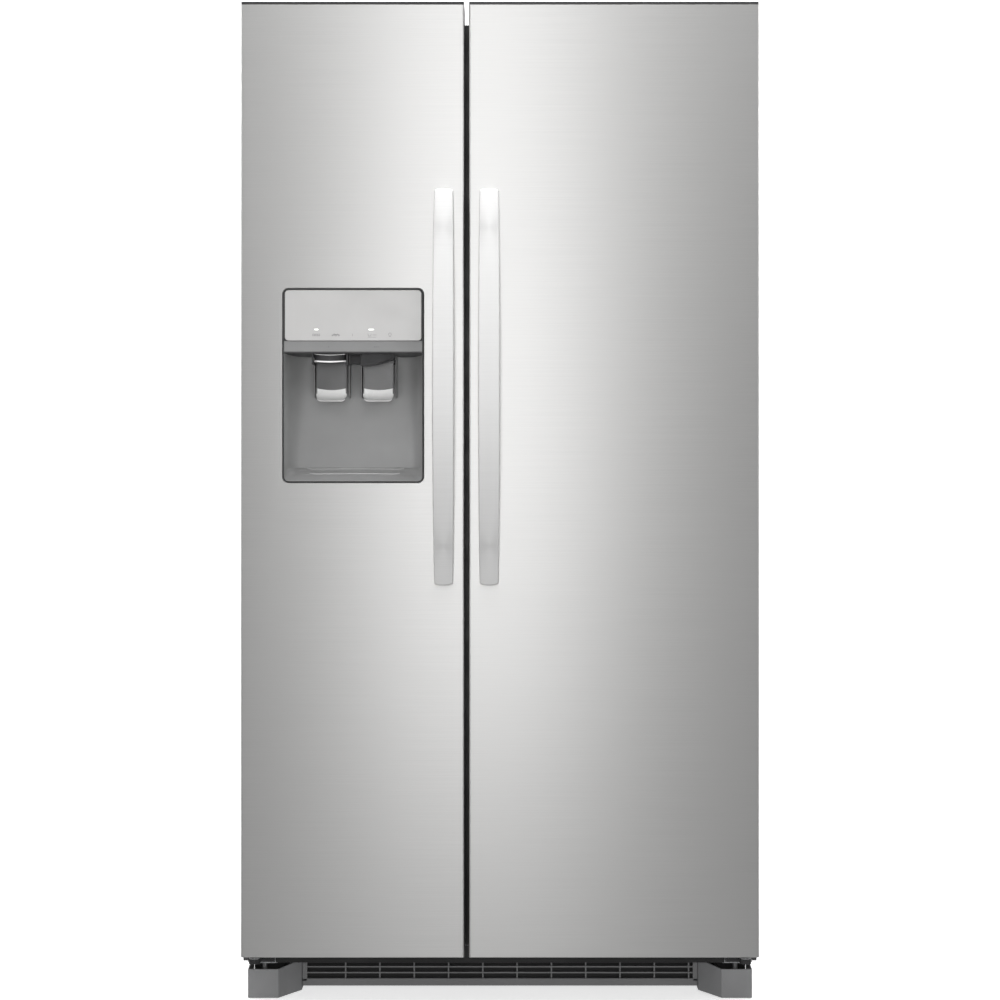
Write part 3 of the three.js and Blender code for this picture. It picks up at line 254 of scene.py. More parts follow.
DOOR_TONES = (0.63, 0.628, 0.622), (0.66, 0.657, 0.65)
# Painted highlight: the handles are the same brushed steel as the doors, given a far lighter colour to stand
# in for the light they catch.
HANDLE_PAINTED_HIGHLIGHT_TONES = (0.955, 0.953, 0.948), (0.985, 0.983, 0.978)
DOOR_GRAIN = (5, 5, 900)                # long along x and y, fine along z
FINISH = {
    "door_steel": brushed("brushed_door_steel", *DOOR_TONES, 0.36, DOOR_GRAIN),
    "handle_steel": brushed("brushed_handle_steel_painted_highlight", *HANDLE_PAINTED_HIGHLIGHT_TONES, 0.5, DOOR_GRAIN, **{"Anisotropic": 0.3}),
    "cabinet_paint": textured_paint(),
    "zinc_steel": galvanized(),
    "bright_steel": brushed("zinc_plated_steel", (0.55, 0.55, 0.56), (0.68, 0.68, 0.69), 0.3, (60, 60, 60)),
    "insulation": foam_skin(),
    "liner_white": plastic("liner_white_plastic", (0.80, 0.805, 0.80), (0.86, 0.862, 0.855), 0.32, 500, 0.01,
                           **{"Subsurface Weight": 0.04, "Coat Weight": 0.15}),
    "dark_plastic": plastic("dark_plastic", (0.020, 0.020, 0.021), (0.028, 0.028, 0.029), 0.46,
                            worn_to=(0.06, 0.06, 0.062)),
    "grey_plastic": plastic("grey_plastic", (0.125, 0.126, 0.128), (0.15, 0.151, 0.153), 0.45,
                            worn_to=(0.22, 0.221, 0.223)),
    "recess_plastic": plastic("recess_grey_plastic", (0.27, 0.271, 0.271), (0.30, 0.301, 0.301), 0.36),
    "fascia_silver": plastic("fascia_silver_plastic", (0.38, 0.377, 0.373), (0.41, 0.406, 0.402),
                             0.35, 2200, 0.04, **{"Metallic": 0.25, "Coat Weight": 0.2}),
    "paddle_plastic": plastic("smoked_plastic", (0.085, 0.085, 0.086), (0.11, 0.11, 0.111), 0.22),
    "black_plastic": plastic("black_plastic", (0.006, 0.006, 0.006), (0.010, 0.010, 0.0105), 0.38),
    "black_enamel": plastic("black_enamel", (0.012, 0.012, 0.013), (0.018, 0.018, 0.019), 0.28, 300, 0.06,
                            worn_to=(0.05, 0.05, 0.052), **{"Coat Weight": 0.3}),
    "condenser_tube": copper_tube(),
    "gasket_rubber": plastic("gasket_grey_vinyl", (0.070, 0.071, 0.073), (0.09, 0.091, 0.093), 0.62, 900, 0.1,
                             **{"Sheen Weight": 0.1}),
    "clear_plastic": clear("clear_styrene", (0.93, 0.95, 0.96), 0.04, 1.45),
    "shelf_glass": clear("tempered_glass", (0.86, 0.93, 0.90), 0.01, 1.5),
}
PALE_LIP = plastic("pale_lip_plastic", (0.60, 0.60, 0.595), (0.66, 0.66, 0.655), 0.3)
WHITE_TRIM = plastic("white_trim_plastic", (0.82, 0.82, 0.82), (0.88, 0.88, 0.88), 0.25)
# Painted highlight: a lighter grey for the ledge beads, standing in for the light along their crests.
BEAD_HIGHLIGHT_GREY = plastic("bead_painted_highlight_plastic", (0.40, 0.40, 0.40), (0.44, 0.44, 0.44), 0.24)
GRILLE_GREY = plastic("grille_grey_plastic", (0.085, 0.085, 0.086), (0.10, 0.10, 0.101), 0.5,
                      worn_to=(0.15, 0.15, 0.152))
STRIP_GREY = plastic("strip_grey_plastic", (0.155, 0.156, 0.156), (0.175, 0.176, 0.176), 0.4)
BEZEL_DARK = plastic("bezel_dark_plastic", (0.022, 0.022, 0.023), (0.032, 0.032, 0.033), 0.35)
MARK_GREY = plastic("printed_mark_grey", (0.10, 0.10, 0.105), (0.13, 0.13, 0.135), 0.5)
LAMP_WHITE = lit("indicator_lamp", (1.0, 1.0, 0.98), 1.6)
LENS_WHITE = plastic("lamp_lens_plastic", (0.85, 0.86, 0.87), (0.92, 0.93, 0.94), 0.2, 250, 0.1,
                     **{"Transmission Weight": 0.4})


# ---- Mesh building ----


class Shape:
    """A mesh being built, in millimetres in the part's frame."""

    def __init__(self):
        self.bm = bmesh.new()

    def face(self, corners):
        vertices = [self.bm.verts.new(c) for c in corners]
        return self.bm.faces.new(vertices)

    def loft(self, rings, closed=True, capped=False, skip=()):
        """Faces between rings with the same number of points. closed joins each ring's end to its start."""
        rows = [[self.bm.verts.new(p) for p in ring] for ring in rings]
        count = len(rows[0])
        for k in range(len(rows) - 1):
            for i in range(count if closed else count - 1):
                j = (i + 1) % count
                if (k, i) not in skip:
                    self.bm.faces.new((rows[k][i], rows[k][j], rows[k + 1][j], rows[k + 1][i]))
        if capped:
            self.bm.faces.new(rows[0][::-1])
            self.bm.faces.new(rows[-1])
        return self

    def box(self, x, y, z, radius=0.0, segments=2):
        corners = [(a, b, c) for a in x for b in y for c in z]
        faces = [(0, 1, 3, 2), (4, 6, 7, 5), (0, 4, 5, 1), (2, 3, 7, 6), (0, 2, 6, 4), (1, 5, 7, 3)]
        return self.solid(corners, faces, radius, segments)

    def solid(self, corners, faces, radius=0.0, segments=2):
        made = bmesh.new()
        vertices = [made.verts.new(c) for c in corners]
        for f in faces:
            made.faces.new([vertices[i] for i in f])
        if radius:
            bmesh.ops.bevel(made, geom=made.edges[:], offset=radius, segments=segments, profile=0.5,
                            affect="EDGES", clamp_overlap=True)
        return self.take(made)

    def prism(self, outline, axis, low, high, radius=0.0, segments=2):
        """A closed outline in the other two axes' order, drawn out along axis, with rounded end edges."""
        def place(point, level):
            a, b = point
            return {"x": (level, a, b), "y": (a, level, b), "z": (a, b, level)}[axis]
        made = bmesh.new()
        bottom = [made.verts.new(place(p, low)) for p in outline]
        top = [made.verts.new(place(p, high)) for p in outline]
        count = len(outline)
        ends = [made.faces.new(bottom), made.faces.new(top[::-1])]
        for i in range(count):
            j = (i + 1) % count
            made.faces.new((bottom[i], top[i], top[j], bottom[j]))
        if radius:
            edges = [e for f in ends for e in f.edges]
            bmesh.ops.bevel(made, geom=edges, offset=radius, segments=segments, profile=0.5,
                            affect="EDGES", clamp_overlap=True)
        return self.take(made)

    def lathe(self, profile, centre, axis="z", steps=32, arc=(0.0, 360.0)):
        """A profile of (radius, height) pairs turned about an axis through centre."""
        start, end = (math.radians(a) for a in arc)
        whole = abs(end - start) > 2 * math.pi - 1e-6
        count = steps if whole else steps + 1
        rings = []
        for r, h in profile:
            ring = []
            for i in range(count):
                t = start + (end - start) * i / steps
                a, b = r * math.cos(t), r * math.sin(t)
                offset = {"x": (h, a, b), "y": (a, h, b), "z": (a, b, h)}[axis]
                ring.append(tuple(c + o for c, o in zip(centre, offset)))
            rings.append(ring)
        return self.loft(rings, closed=whole)

    def tube(self, points, radius, sides=8, closed=False):
        """A round tube along points, with its cross-section turned as little as possible."""
        points = [Vector(p) for p in points]
        count = len(points)
        rings, normal = [], None
        for i, p in enumerate(points):
            ahead = points[(i + 1) % count] if closed or i < count - 1 else p
            behind = points[i - 1] if closed or i else p
            along = (ahead - behind).normalized()
            if normal is None:
                normal = along.orthogonal().normalized()
            normal = (normal - along * normal.dot(along)).normalized()
            side = along.cross(normal)
            rings.append([p + radius * (math.cos(a) * normal + math.sin(a) * side)
                          for a in (2 * math.pi * k / sides for k in range(sides))])
        if closed:
            rings.append(rings[0])
        return self.loft(rings, capped=not closed)

    def take(self, other):
        """Moves another mesh's faces into this one."""
        mesh = bpy.data.meshes.new("part")
        other.to_mesh(mesh)
        other.free()
        self.bm.from_mesh(mesh)
        bpy.data.meshes.remove(mesh)
        return self

    def made(self, name, body, slot, material=None, nodes=(), sharp=35.0, merge=0.01, weighted=True):
        """The finished object, riding on its body."""
        bmesh.ops.remove_doubles(self.bm, verts=self.bm.verts, dist=merge)
        bmesh.ops.dissolve_degenerate(self.bm, edges=self.bm.edges, dist=merge / 2)
        bmesh.ops.recalc_face_normals(self.bm, faces=self.bm.faces)
        bmesh.ops.scale(self.bm, vec=(MM, MM, MM), verts=self.bm.verts)
        mesh = bpy.data.meshes.new(name)
        self.bm.to_mesh(mesh)
        self.bm.free()
        mesh.polygons.foreach_set("use_smooth", [True] * len(mesh.polygons))
        mesh.set_sharp_from_angle(angle=math.radians(sharp))
        mesh.materials.append(material or FINISH[slot])
        obj = bpy.data.objects.new(name, mesh)
        bpy.context.scene.collection.objects.link(obj)
        if weighted:
            modifier = obj.modifiers.new("even_shading", "WEIGHTED_NORMAL")
            modifier.keep_sharp = True
        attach(obj, body)
        if nodes:
            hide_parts(*nodes)
        return obj


def rounded(a, b, radius, steps=6):
    """Points of a rounded rectangle between a = (low, high) and b = (low, high)."""
    points = []
    centres = [(a[1] - radius, b[1] - radius, 0), (a[0] + radius, b[1] - radius, 1),
               (a[0] + radius, b[0] + radius, 2), (a[1] - radius, b[0] + radius, 3)]
    for ca, cb, quarter in centres:
        for k in range(steps + 1):
            t = (quarter + k / steps) * HALF_PI
            points.append((ca + radius * math.cos(t), cb + radius * math.sin(t)))
    return points


def grow(pair, amount):
    """A (low, high) pair made longer at both ends, or shorter with a negative amount."""
    return pair[0] - amount, pair[1] + amount


def front_ring(x, z, radius, sections, steps=6):
    """Rings of a rounded rectangular frame seen from the front: sections are (inset, y) pairs."""
    return [[(a, y, b) for a, b in rounded(grow(x, -inset), grow(z, -inset), max(radius - inset, 0.3), steps)]
            for inset, y in sections]


def smooth(t):
    """0 below 0, 1 above 1, and an even curve between them."""
    t = min(1.0, max(0.0, t))
    return t * t * (3 - 2 * t)


# ---- Doors ----

EDGE_RADIUS = 3.0
SHEET = 1.5
HINGE_NOTCH_Y = -378.0                  # the top of a door is cut away for its hinge behind this
HINGE_NOTCH_DEPTH = 24.0
LIP = 1.3                               # turned-in edge round the opening of the dispenser


def door_shell(name, node, side, opening=None):
    """Steel sheet folded round a door, with rolled ends and, on the freezer, a lipped opening."""
    lo, hi = box_mm(node)
    arc_steps = 5

    def plan(inset):
        x0, x1, y0, y1 = lo.x + inset, hi.x - inset, lo.y + inset, hi.y
        r = EDGE_RADIUS - inset

        def half(edge, sign):
            straight = [(edge + sign * SHEET, y1 - 5), (edge + sign * SHEET, y1 - 0.5),
                        (edge + sign * 0.7, y1), (edge, y1 - 0.8),
                        (edge, HINGE_NOTCH_Y + 0.4), (edge, HINGE_NOTCH_Y)]
            arc = []
            for k in range(arc_steps + 1):
                t = k / arc_steps * HALF_PI
                arc.append((edge + sign * r * (1 - math.cos(t)), y0 + r * (1 - math.sin(t))))
            return straight + arc

        return half(x0, 1), half(x1, -1)

    ends = [(8, 1.5), (0.5, 1.5), (0.0, 0.9), (0.25, 0.3), (1.3, 0.0)]
    levels = [(lo.z + d, i, False) for d, i in ends] + [(hi.z - d, i, True) for d, i in reversed(ends)]
    rings = []
    for z, inset, top in levels:
        left, right = plan(inset)
        ring = []
        for points, own in ((left, side < 0), (right[::-1], side > 0)):
            for x, y in points:
                notched = top and own and y > HINGE_NOTCH_Y + 0.2
                ring.append((x, y, z - HINGE_NOTCH_DEPTH if notched else z))
        rings.append(ring)
    shape = Shape()
    middle = len(plan(0)[0]) - 1
    flat = len(ends) - 1
    shape.loft(rings, closed=False, skip={(flat, middle)} if opening else ())
    if opening:
        x, z, radius = opening
        a, b = lo.x + EDGE_RADIUS, hi.x - EDGE_RADIUS
        c, d = levels[flat][0], levels[flat + 1][0]
        outer = [(a, c), (b, c), (b, d), (a, d)]
        inner = rounded(grow(x, LIP), grow(z, LIP), radius + LIP, 8)
        corners = [Vector((p, lo.y, q)) for p, q in outer + inner]
        flat_outer = [Vector((p, q, 0)) for p, q in outer]
        flat_inner = [Vector((p, q, 0)) for p, q in inner]
        vertices = [shape.bm.verts.new(v) for v in corners]
        for triangle in tessellate_polygon([flat_outer, flat_inner]):
            shape.bm.faces.new([vertices[i] for i in triangle])
        lip = [(0.0, 0.0), (LIP * 0.38, 0.1), (LIP * 0.75, 0.4), (LIP, LIP), (LIP, 4.0)]
        lip_outlines = [(rounded(grow(x, LIP - inset), grow(z, LIP - inset), radius + LIP - inset, 8), depth)
                        for inset, depth in lip]
        shape.loft([[(p, lo.y + depth, q) for p, q in outline] for outline, depth in lip_outlines])
    return shape.made(name, BODY_OF_NODE[node], "door_steel", nodes=[node], sharp=50)


HANDLE_FOOT = 26.0
HANDLE_STAND = 8.4                      # how far the strap's ends stand off the door
HANDLE_THICK = 11.0
HANDLE_GAP = 0.4                        # between the feet and the door
HANDLE_BEND = 0.45 * math.pi            # angle of the bow's cosine at the ends
HANDLE_CORNER = 1.6
HANDLE_END_RADIUS = 3.2
HANDLE_STEPS = 72


def handle(name, node):
    """Bowed strap handle, a little narrower at its arched ends, with feet that meet the door."""
    lo, hi = box_mm(node)
    centre_x, centre_z = (lo.x + hi.x) / 2, (lo.z + hi.z) / 2
    half, half_width, face = (hi.z - lo.z) / 2, (hi.x - lo.x) / 2, hi.y
    reach = hi.y - lo.y + HANDLE_GAP

    def bow(z):
        return (reach - HANDLE_STAND) * math.cos(z / half * HANDLE_BEND)

    def section(z, shrink):
        """Ring of one cross-section: a flat front with rounded corners and a back with cut corners."""
        width = half_width - 2.0 * (abs(z) / half) ** 2.5 - shrink
        front = face + HANDLE_GAP - HANDLE_STAND - bow(z) + shrink
        arch = face + HANDLE_GAP + HANDLE_THICK - HANDLE_STAND - bow(z)
        foot = smooth((abs(z) - (half - HANDLE_FOOT - 7)) / 9.0)
        back = arch * (1 - foot) + face * foot
        corners = []
        for sign in (-1, 1):
            arc = []
            for k in range(5):
                t = k / 4 * HALF_PI
                x = sign * (width - HANDLE_CORNER * (1 - math.cos(t)))
                arc.append((x, front + HANDLE_CORNER * (1 - math.sin(t))))
            corners.append(arc)
        flat = width - HANDLE_CORNER - 0.5
        middle = [(x, front) for x in (-flat, -0.5 * flat, 0.0, 0.5 * flat, flat)]
        rear = [(width, back - 1.2), (width - 1.2, back), (0.0, back),
                (1.2 - width, back), (-width, back - 1.2)]
        return corners[0] + middle + corners[1][::-1] + rear

    inner = half - HANDLE_END_RADIUS
    stations = []
    for k in range(6):
        t = k / 5 * HALF_PI
        shrink = HANDLE_END_RADIUS * (1 - math.sin(t))
        stations.append((-half + HANDLE_END_RADIUS * (1 - math.cos(t)), shrink))
    stations += [(-inner + 2 * inner * k / HANDLE_STEPS, 0.0) for k in range(1, HANDLE_STEPS)]
    stations += [(-z, shrink) for z, shrink in stations[5::-1]]
    rings = []
    for z, shrink in stations:
        ring = []
        for x, y in section(z, shrink):
            arched = 3.4 * (x / half_width) ** 2 * smooth((abs(z) - half + 12) / 12)
            ring.append((centre_x + x, min(y, face), centre_z + z - math.copysign(arched, z)))
        rings.append(ring)
    strap = Shape().loft(rings, capped=True)
    return strap.made(name, BODY_OF_NODE[node], "handle_steel", nodes=[node], sharp=60)


def gasket(name, node):
    """Magnetic door seal: a hollow bellows between the door and a flat magnet strip."""
    lo, hi = box_mm(node)
    depth = hi.y - lo.y
    profile = [(1.0, 0.0), (0.2, 0.08), (0.0, 0.2), (1.4, 0.32), (2.4, 0.42), (1.2, 0.54), (0.2, 0.66),
               (0.0, 0.82), (0.8, 0.96), (2.0, 1.0), (12.5, 1.0), (13.6, 0.94), (14.0, 0.84), (12.8, 0.7),
               (11.6, 0.56), (13.4, 0.4), (15.2, 0.26), (16.0, 0.14), (15.4, 0.0)]
    sections = [(inset, lo.y + depth * share) for inset, share in profile]
    rings = front_ring((lo.x, hi.x), (lo.z, hi.z), 17.0, sections, 4)
    seal = Shape().loft(rings + rings[:1])
    return seal.made(name, BODY_OF_NODE[node], "gasket_rubber", nodes=[node], sharp=50)


# ---- Dispenser ----

DISPENSER_LO, DISPENSER_HI = box_mm("dispenser_housing")
DISPENSER_X = (DISPENSER_LO.x, DISPENSER_HI.x)
DISPENSER_Z = (DISPENSER_LO.z, DISPENSER_HI.z)
DISPENSER_FRONT = DISPENSER_LO.y
BEZEL = 2.1                             # width of the dark rim round the dispenser
MOUTH_TOP = 1159.0
LEDGE_DEPTH = 74
LEDGE_RIDGES = ((943.6, 2.0, 0.9), (952.6, 2.5, 1.0))    # height, reach and width of each ledge ridge
LEDGE_BEADS = ((943.8, 80.0, 4.0), (952.8, 86.0, 6.0))   # height, half length and tip rise of each bead
PADDLE_CENTRES = {node: sum(corner.x for corner in box_mm(node)) / 2
                  for node in ("ice_paddle", "water_paddle")}
PADDLE_PIVOT_Z = 1146.0
PADDLE_Y = box_mm("ice_paddle")[1].y


def recess_back(z):
    """How far back the recess reaches at height z: a sloped ledge, then a wall that leans back."""
    floor, knee = DISPENSER_Z[0] + BEZEL, DISPENSER_Z[0] + 27
    if z < knee:
        reach = LEDGE_DEPTH * max(0.0, (z - floor) / (knee - floor)) ** 0.9
        for height, forward, width in LEDGE_RIDGES:
            reach -= forward * math.exp(-(((z - height) / width) ** 2))
        return max(0.4, reach)
    lean = min(1.0, (z - knee) / (1140 - knee))
    return LEDGE_DEPTH + 54 * lean ** 0.95


def recess_slice(z, share=1.0):
    """Plan of the recess at height z: curved side walls into a flat back."""
    x0, x1 = grow(DISPENSER_X, -BEZEL)
    depth = recess_back(z) * share
    lean = min(1.0, max(0.0, (z - DISPENSER_Z[0]) / (MOUTH_TOP - DISPENSER_Z[0])))
    side = (32 + 9 * lean) * min(1.0, 0.35 + depth / 90)
    power = 2 / 2.5
    steps = 14
    left = []
    for k in range(steps + 1):
        t = k / steps * HALF_PI
        left.append((side * (1 - max(0.0, math.cos(t)) ** power), depth * max(0.0, math.sin(t)) ** power))
    ring = [(x0 + a, DISPENSER_FRONT + 1.2 + b, z) for a, b in left]
    a0, a1 = x0 + side, x1 - side
    ring += [(a0 + (a1 - a0) * k / 10, DISPENSER_FRONT + 1.2 + depth, z) for k in range(1, 10)]
    return ring + [(x1 - a, DISPENSER_FRONT + 1.2 + b, z) for a, b in reversed(left)]


def dispenser_recess():
    """Moulded wall of the recess, from the ledge up to the strip."""
    knee = DISPENSER_Z[0] + 30
    heights = [DISPENSER_Z[0] + BEZEL - 0.4 + 0.45 * k for k in range(62)]
    heights = [z for z in heights if z < knee] + [knee + (MOUTH_TOP - knee) * k / 26 for k in range(27)]
    rings = [recess_slice(z) for z in heights]
    shape = Shape().loft(rings, closed=False)
    return shape.made("dispenser_recess", "freezer_door", "recess_plastic", nodes=["dispenser_housing"],
                      sharp=60)


def recess_ceiling():
    """Roof of the recess, behind the strip, in dark plastic as painted shade."""
    outline = [(x, y) for x, y, _ in recess_slice(MOUTH_TOP)]
    shape = Shape().prism(outline, "z", MOUTH_TOP - 1.2, MOUTH_TOP + 0.6, 0.3)
    # Painted shade: dark plastic for the roof, where the top of the recess lies in shade.
    shape.made("recess_ceiling", "freezer_door", "recess_plastic", FINISH["dark_plastic"], sharp=45)


def ledge_beads():
    """Two raised beads along the ledge, turned up at their ends, in a lighter plastic as a painted highlight
    along them.
    """
    shape = Shape()
    middle = sum(DISPENSER_X) / 2
    for height, half, tip in LEDGE_BEADS:
        points = []
        for k in range(33):
            t = -1 + k / 16
            rise = tip * max(0.0, abs(t) - 0.9) / 0.1
            z = height + rise * 0.35 + 0.9 * (1 - t * t)
            points.append((middle + half * t, DISPENSER_FRONT + 1.2 + recess_back(z) - 0.2 * rise, z))
        shape.tube(points, 1.25, 10)
    shape.made("ledge_beads", "freezer_door", "recess_plastic", BEAD_HIGHLIGHT_GREY, sharp=60)


def dispenser_bezel():
    """Dark rim round the dispenser, and the plate behind its fascia."""
    front = DISPENSER_FRONT
    sections = [(0, front + 9), (0, front + 0.7), (0.25, front + 0.2), (0.7, front), (1.7, front),
                (2.2, front + 0.2), (BEZEL, front + 0.8), (BEZEL, front + 9)]
    shape = Shape().loft(front_ring(DISPENSER_X, DISPENSER_Z, 10, sections, 8))
    x = grow(DISPENSER_X, -BEZEL)
    shape.box(x, (front + 4.5, front + 8), (MOUTH_TOP + 16, DISPENSER_Z[1] - BEZEL), 0.3)
    return shape.made("dispenser_bezel", "freezer_door", "dark_plastic", BEZEL_DARK, sharp=50)


def dispenser_strip():
    """Grey bar under the fascia, with small marks over the paddles."""
    lo, _ = box_mm("dispenser_panel")
    x = grow(DISPENSER_X, -BEZEL)
    front = DISPENSER_FRONT + 1.0
    outline = [(front + 0.6, lo.z - 0.3), (front, lo.z - 1.0), (front, MOUTH_TOP + 1.6),
               (front + 0.5, MOUTH_TOP + 0.5), (front + 1.6, MOUTH_TOP), (front + 12, MOUTH_TOP),
               (front + 12, lo.z - 0.3)]
    shape = Shape().prism(outline, "x", *x)
    shape.made("dispenser_strip", "freezer_door", "recess_plastic", STRIP_GREY, sharp=50)
    marks = Shape()
    for centre, bars in ((PADDLE_CENTRES["ice_paddle"], 1), (PADDLE_CENTRES["water_paddle"], 3)):
        for k in range(bars):
            x = centre + 3.2 * (k - (bars - 1) / 2)
            marks.box((x - 1.0, x + 1.0), (front - 0.12, front + 0.5), (1167.2, 1168.8), 0.2)
    marks.made("strip_marks", "freezer_door", "dark_plastic", MARK_GREY)


def fascia():
    """Silver control panel with its printed marks and its two lamps."""
    lo, hi = box_mm("dispenser_panel")
    sections = [(0.0, lo.y + 5), (0.0, lo.y + 0.9), (0.3, lo.y + 0.3), (0.9, lo.y)]
    shape = Shape().loft(front_ring((lo.x, hi.x), (lo.z, hi.z), 6.5, sections, 8))
    shape.face([(a, lo.y, b) for a, b in rounded(grow((lo.x, hi.x), -0.9), grow((lo.z, hi.z), -0.9), 5.6, 8)])
    shape.made("dispenser_fascia", "freezer_door", "fascia_silver", nodes=["dispenser_panel"], sharp=50)
    fascia_marks(lo.y)
    lamps = Shape()
    for x, half in ((-324.0, 3.4), (-227.0, 4.6)):
        lamps.box((x - half, x + half), (lo.y - 0.2, lo.y + 0.4), (1197.7, 1199.4), 0.3)
    lamps.made("fascia_lamps", "freezer_door", "fascia_silver", LAMP_WHITE)


def fascia_marks(front):
    """Plain pictograms: an ice cube, crushed ice, a divider, a glass and a bulb."""
    shape = Shape()
    depth = (front - 0.14, front + 0.3)

    def stroke(points, width=0.55):
        for (x0, z0), (x1, z1) in zip(points, points[1:]):
            along = Vector((x1 - x0, z1 - z0)).normalized() * width / 2
            side = Vector((-along.y, along.x))
            a, b = Vector((x0, z0)) - along, Vector((x1, z1)) + along
            outline = [a + side, b + side, b - side, a - side]
            shape.prism([(p.x, p.y) for p in outline], "y", *depth)

    def square(x, z, half, turn=0.0):
        corners = [(x + half * math.cos(turn + k * HALF_PI + math.pi / 4),
                    z + half * math.sin(turn + k * HALF_PI + math.pi / 4)) for k in range(5)]
        stroke(corners)

    base = 1189.0
    for offset in (-4.6, 0.0, 4.6):
        square(-324 + offset, base, 2.2)
    for k, offset in enumerate((-5.4, -2.4, 0.6, 3.4, 5.8)):
        square(-290 + offset, base + (0.8 if k % 2 else -0.6), 1.2 + 0.3 * (k % 3), 0.5 * k)
    stroke([(-260, base - 2), (-260, base + 2)], 0.5)
    stroke([(-233, base + 2), (-231.8, base - 2), (-228.2, base - 2), (-227, base + 2)])
    stroke([(-224, base), (-218, base)])
    stroke([(-233, base - 4), (-218, base - 4)], 0.4)
    bulb = [(-194 + 2.3 * math.cos(math.radians(a)), base + 1.0 + 2.6 * math.sin(math.radians(a)))
            for a in range(-50, 231, 28)]
    stroke(bulb + [(-195.2, base - 2.8), (-192.8, base - 2.8), bulb[0]], 0.5)
    shape.made("fascia_marks", "freezer_door", "dark_plastic", MARK_GREY, weighted=False)


def ice_spout():
    """Round collar of the ice chute, with white tubes along its front lower edge as a painted highlight on
    its lip.
    """
    x, y = PADDLE_CENTRES["ice_paddle"], -349.0
    profile = [(25.0, 1160), (25.0, 1144), (25.6, 1142.6), (28.0, 1142.6), (28.8, 1144), (29.0, 1160)]
    collar = Shape().lathe(profile, (x, y, 0), steps=40)
    for side in (-1, 1):
        collar.box((x + side * 30.6 - 1.6, x + side * 30.6 + 1.6), (y - 14, y + 20), (1139, 1160), 0.6)
    collar.made("ice_spout_collar", "freezer_door", "recess_plastic", FINISH["dark_plastic"], sharp=50)

    def arc(radius, height, sag, spread):
        points = []
        for k in range(25):
            t = math.radians(-90 - spread + 2 * spread * k / 24)
            dip = sag * math.sin(t) ** 2
            points.append((x + radius * math.cos(t), y + radius * math.sin(t), height - dip))
        return points

    # Painted highlight: thin white tubes where the chute's lip catches the light.
    highlight_rims = Shape().tube(arc(28.4, 1145.2, 2.6, 82), 1.55, 10)
    highlight_rims.tube(arc(29.1, 1157.4, 3.2, 70), 0.45, 8)
    for side in (-1, 1):
        highlight_rims.tube([(x + side * 28.6, y - 4, 1144.5), (x + side * 29.3, y - 4, 1151)], 1.1, 8)
    highlight_rims.made("ice_spout_painted_highlight", "freezer_door", "recess_plastic", WHITE_TRIM, sharp=60)


def water_hood():
    """Curved hood over the water paddle with its small outlet."""
    x = PADDLE_CENTRES["water_paddle"]
    rings = []
    for k in range(15):
        t = -1 + 2 * k / 14
        low = 1139.5 + 6.5 * t + 4.0 * t * t
        across = x + 30 * t
        rings.append([(across, -352 + 6 * t * t, 1159.5), (across, -353 + 7 * t * t, low + 3),
                      (across, -350 + 7 * t * t, low), (across, -300, low + 1), (across, -290, 1159.5)])
    hood = Shape().loft(rings, closed=True, capped=True)
    hood.lathe([(0, 1141), (2.6, 1141), (3.4, 1142), (4.2, 1150), (0, 1150)], (x + 6, -338, 0), steps=16)
    hood.made("water_hood", "freezer_door", "recess_plastic", FINISH["dark_plastic"], sharp=45)


def paddle(node, body):
    """Smoked paddle with side ribs, and its pale lip curled forward at the foot."""
    centre = PADDLE_CENTRES[node]
    y = PADDLE_Y
    half = 27.2

    def plate_ring(z, front, width):
        return [(centre - width, y, z), (centre - width, front + 1.0, z), (centre - width + 1.0, front, z),
                (centre + width - 1.0, front, z), (centre + width, front + 1.0, z), (centre + width, y, z)]

    rows = [(1150.0, 0.8), (1149.2, 0.0), (1120.0, 0.0), (1100.0, 0.0), (1090.0, 0.0), (1088.0, 0.4)]
    plate = Shape().loft([plate_ring(z, y - 3.0 + cut, half - cut) for z, cut in rows], capped=True)
    for side in (-1, 1):
        rib = centre + side * (half - 0.9)
        plate.box((rib - 0.8, rib + 0.8), (y - 4.6, y - 0.6), (1084, 1149), 0.4)
    axle = [(0, -half), (3.2, -half), (3.2, half), (0, half)]
    plate.lathe(axle, (centre, y - 1.5, PADDLE_PIVOT_Z), "x", 14)
    plate.made(f"{node}_plate", body, "paddle_plastic", nodes=[node], sharp=45)

    steps = 20
    path = [(y - 3.4, 0.0), (y - 3.8, 5.0), (y - 4.6, 10.0), (y - 7.0, 15.5), (y - 11.0, 19.5),
            (y - 15.0, 21.6), (y - 16.6, 22.6), (y - 16.2, 23.8), (y - 13.0, 23.4), (y - 8.0, 20.0),
            (y - 4.6, 15.0), (y - 1.6, 10.0), (y - 0.6, 4.0), (y - 0.6, 0.0)]
    rings = []
    for py, down in path:
        ring = []
        for k in range(steps + 1):
            t = -1 + 2 * k / steps
            corner = max(0.0, abs(t) - 0.78) / 0.22
            narrow = 1.0 - 0.10 * smooth((down - 14) / 10)
            top = 1098.5 - 3.4 * (1 - t * t)
            z = top - down * (top - 1074.4) / 23.8 + 3.2 * corner * corner * smooth((down - 10) / 12)
            ring.append((centre + t * half * narrow, py, z))
        rings.append(ring)
    lip = Shape().loft(rings + rings[:1], closed=False)
    for k in (0, steps):
        lip.face([ring[k] for ring in rings])
    lip.made(f"{node}_lip", body, "paddle_plastic", PALE_LIP, sharp=50)


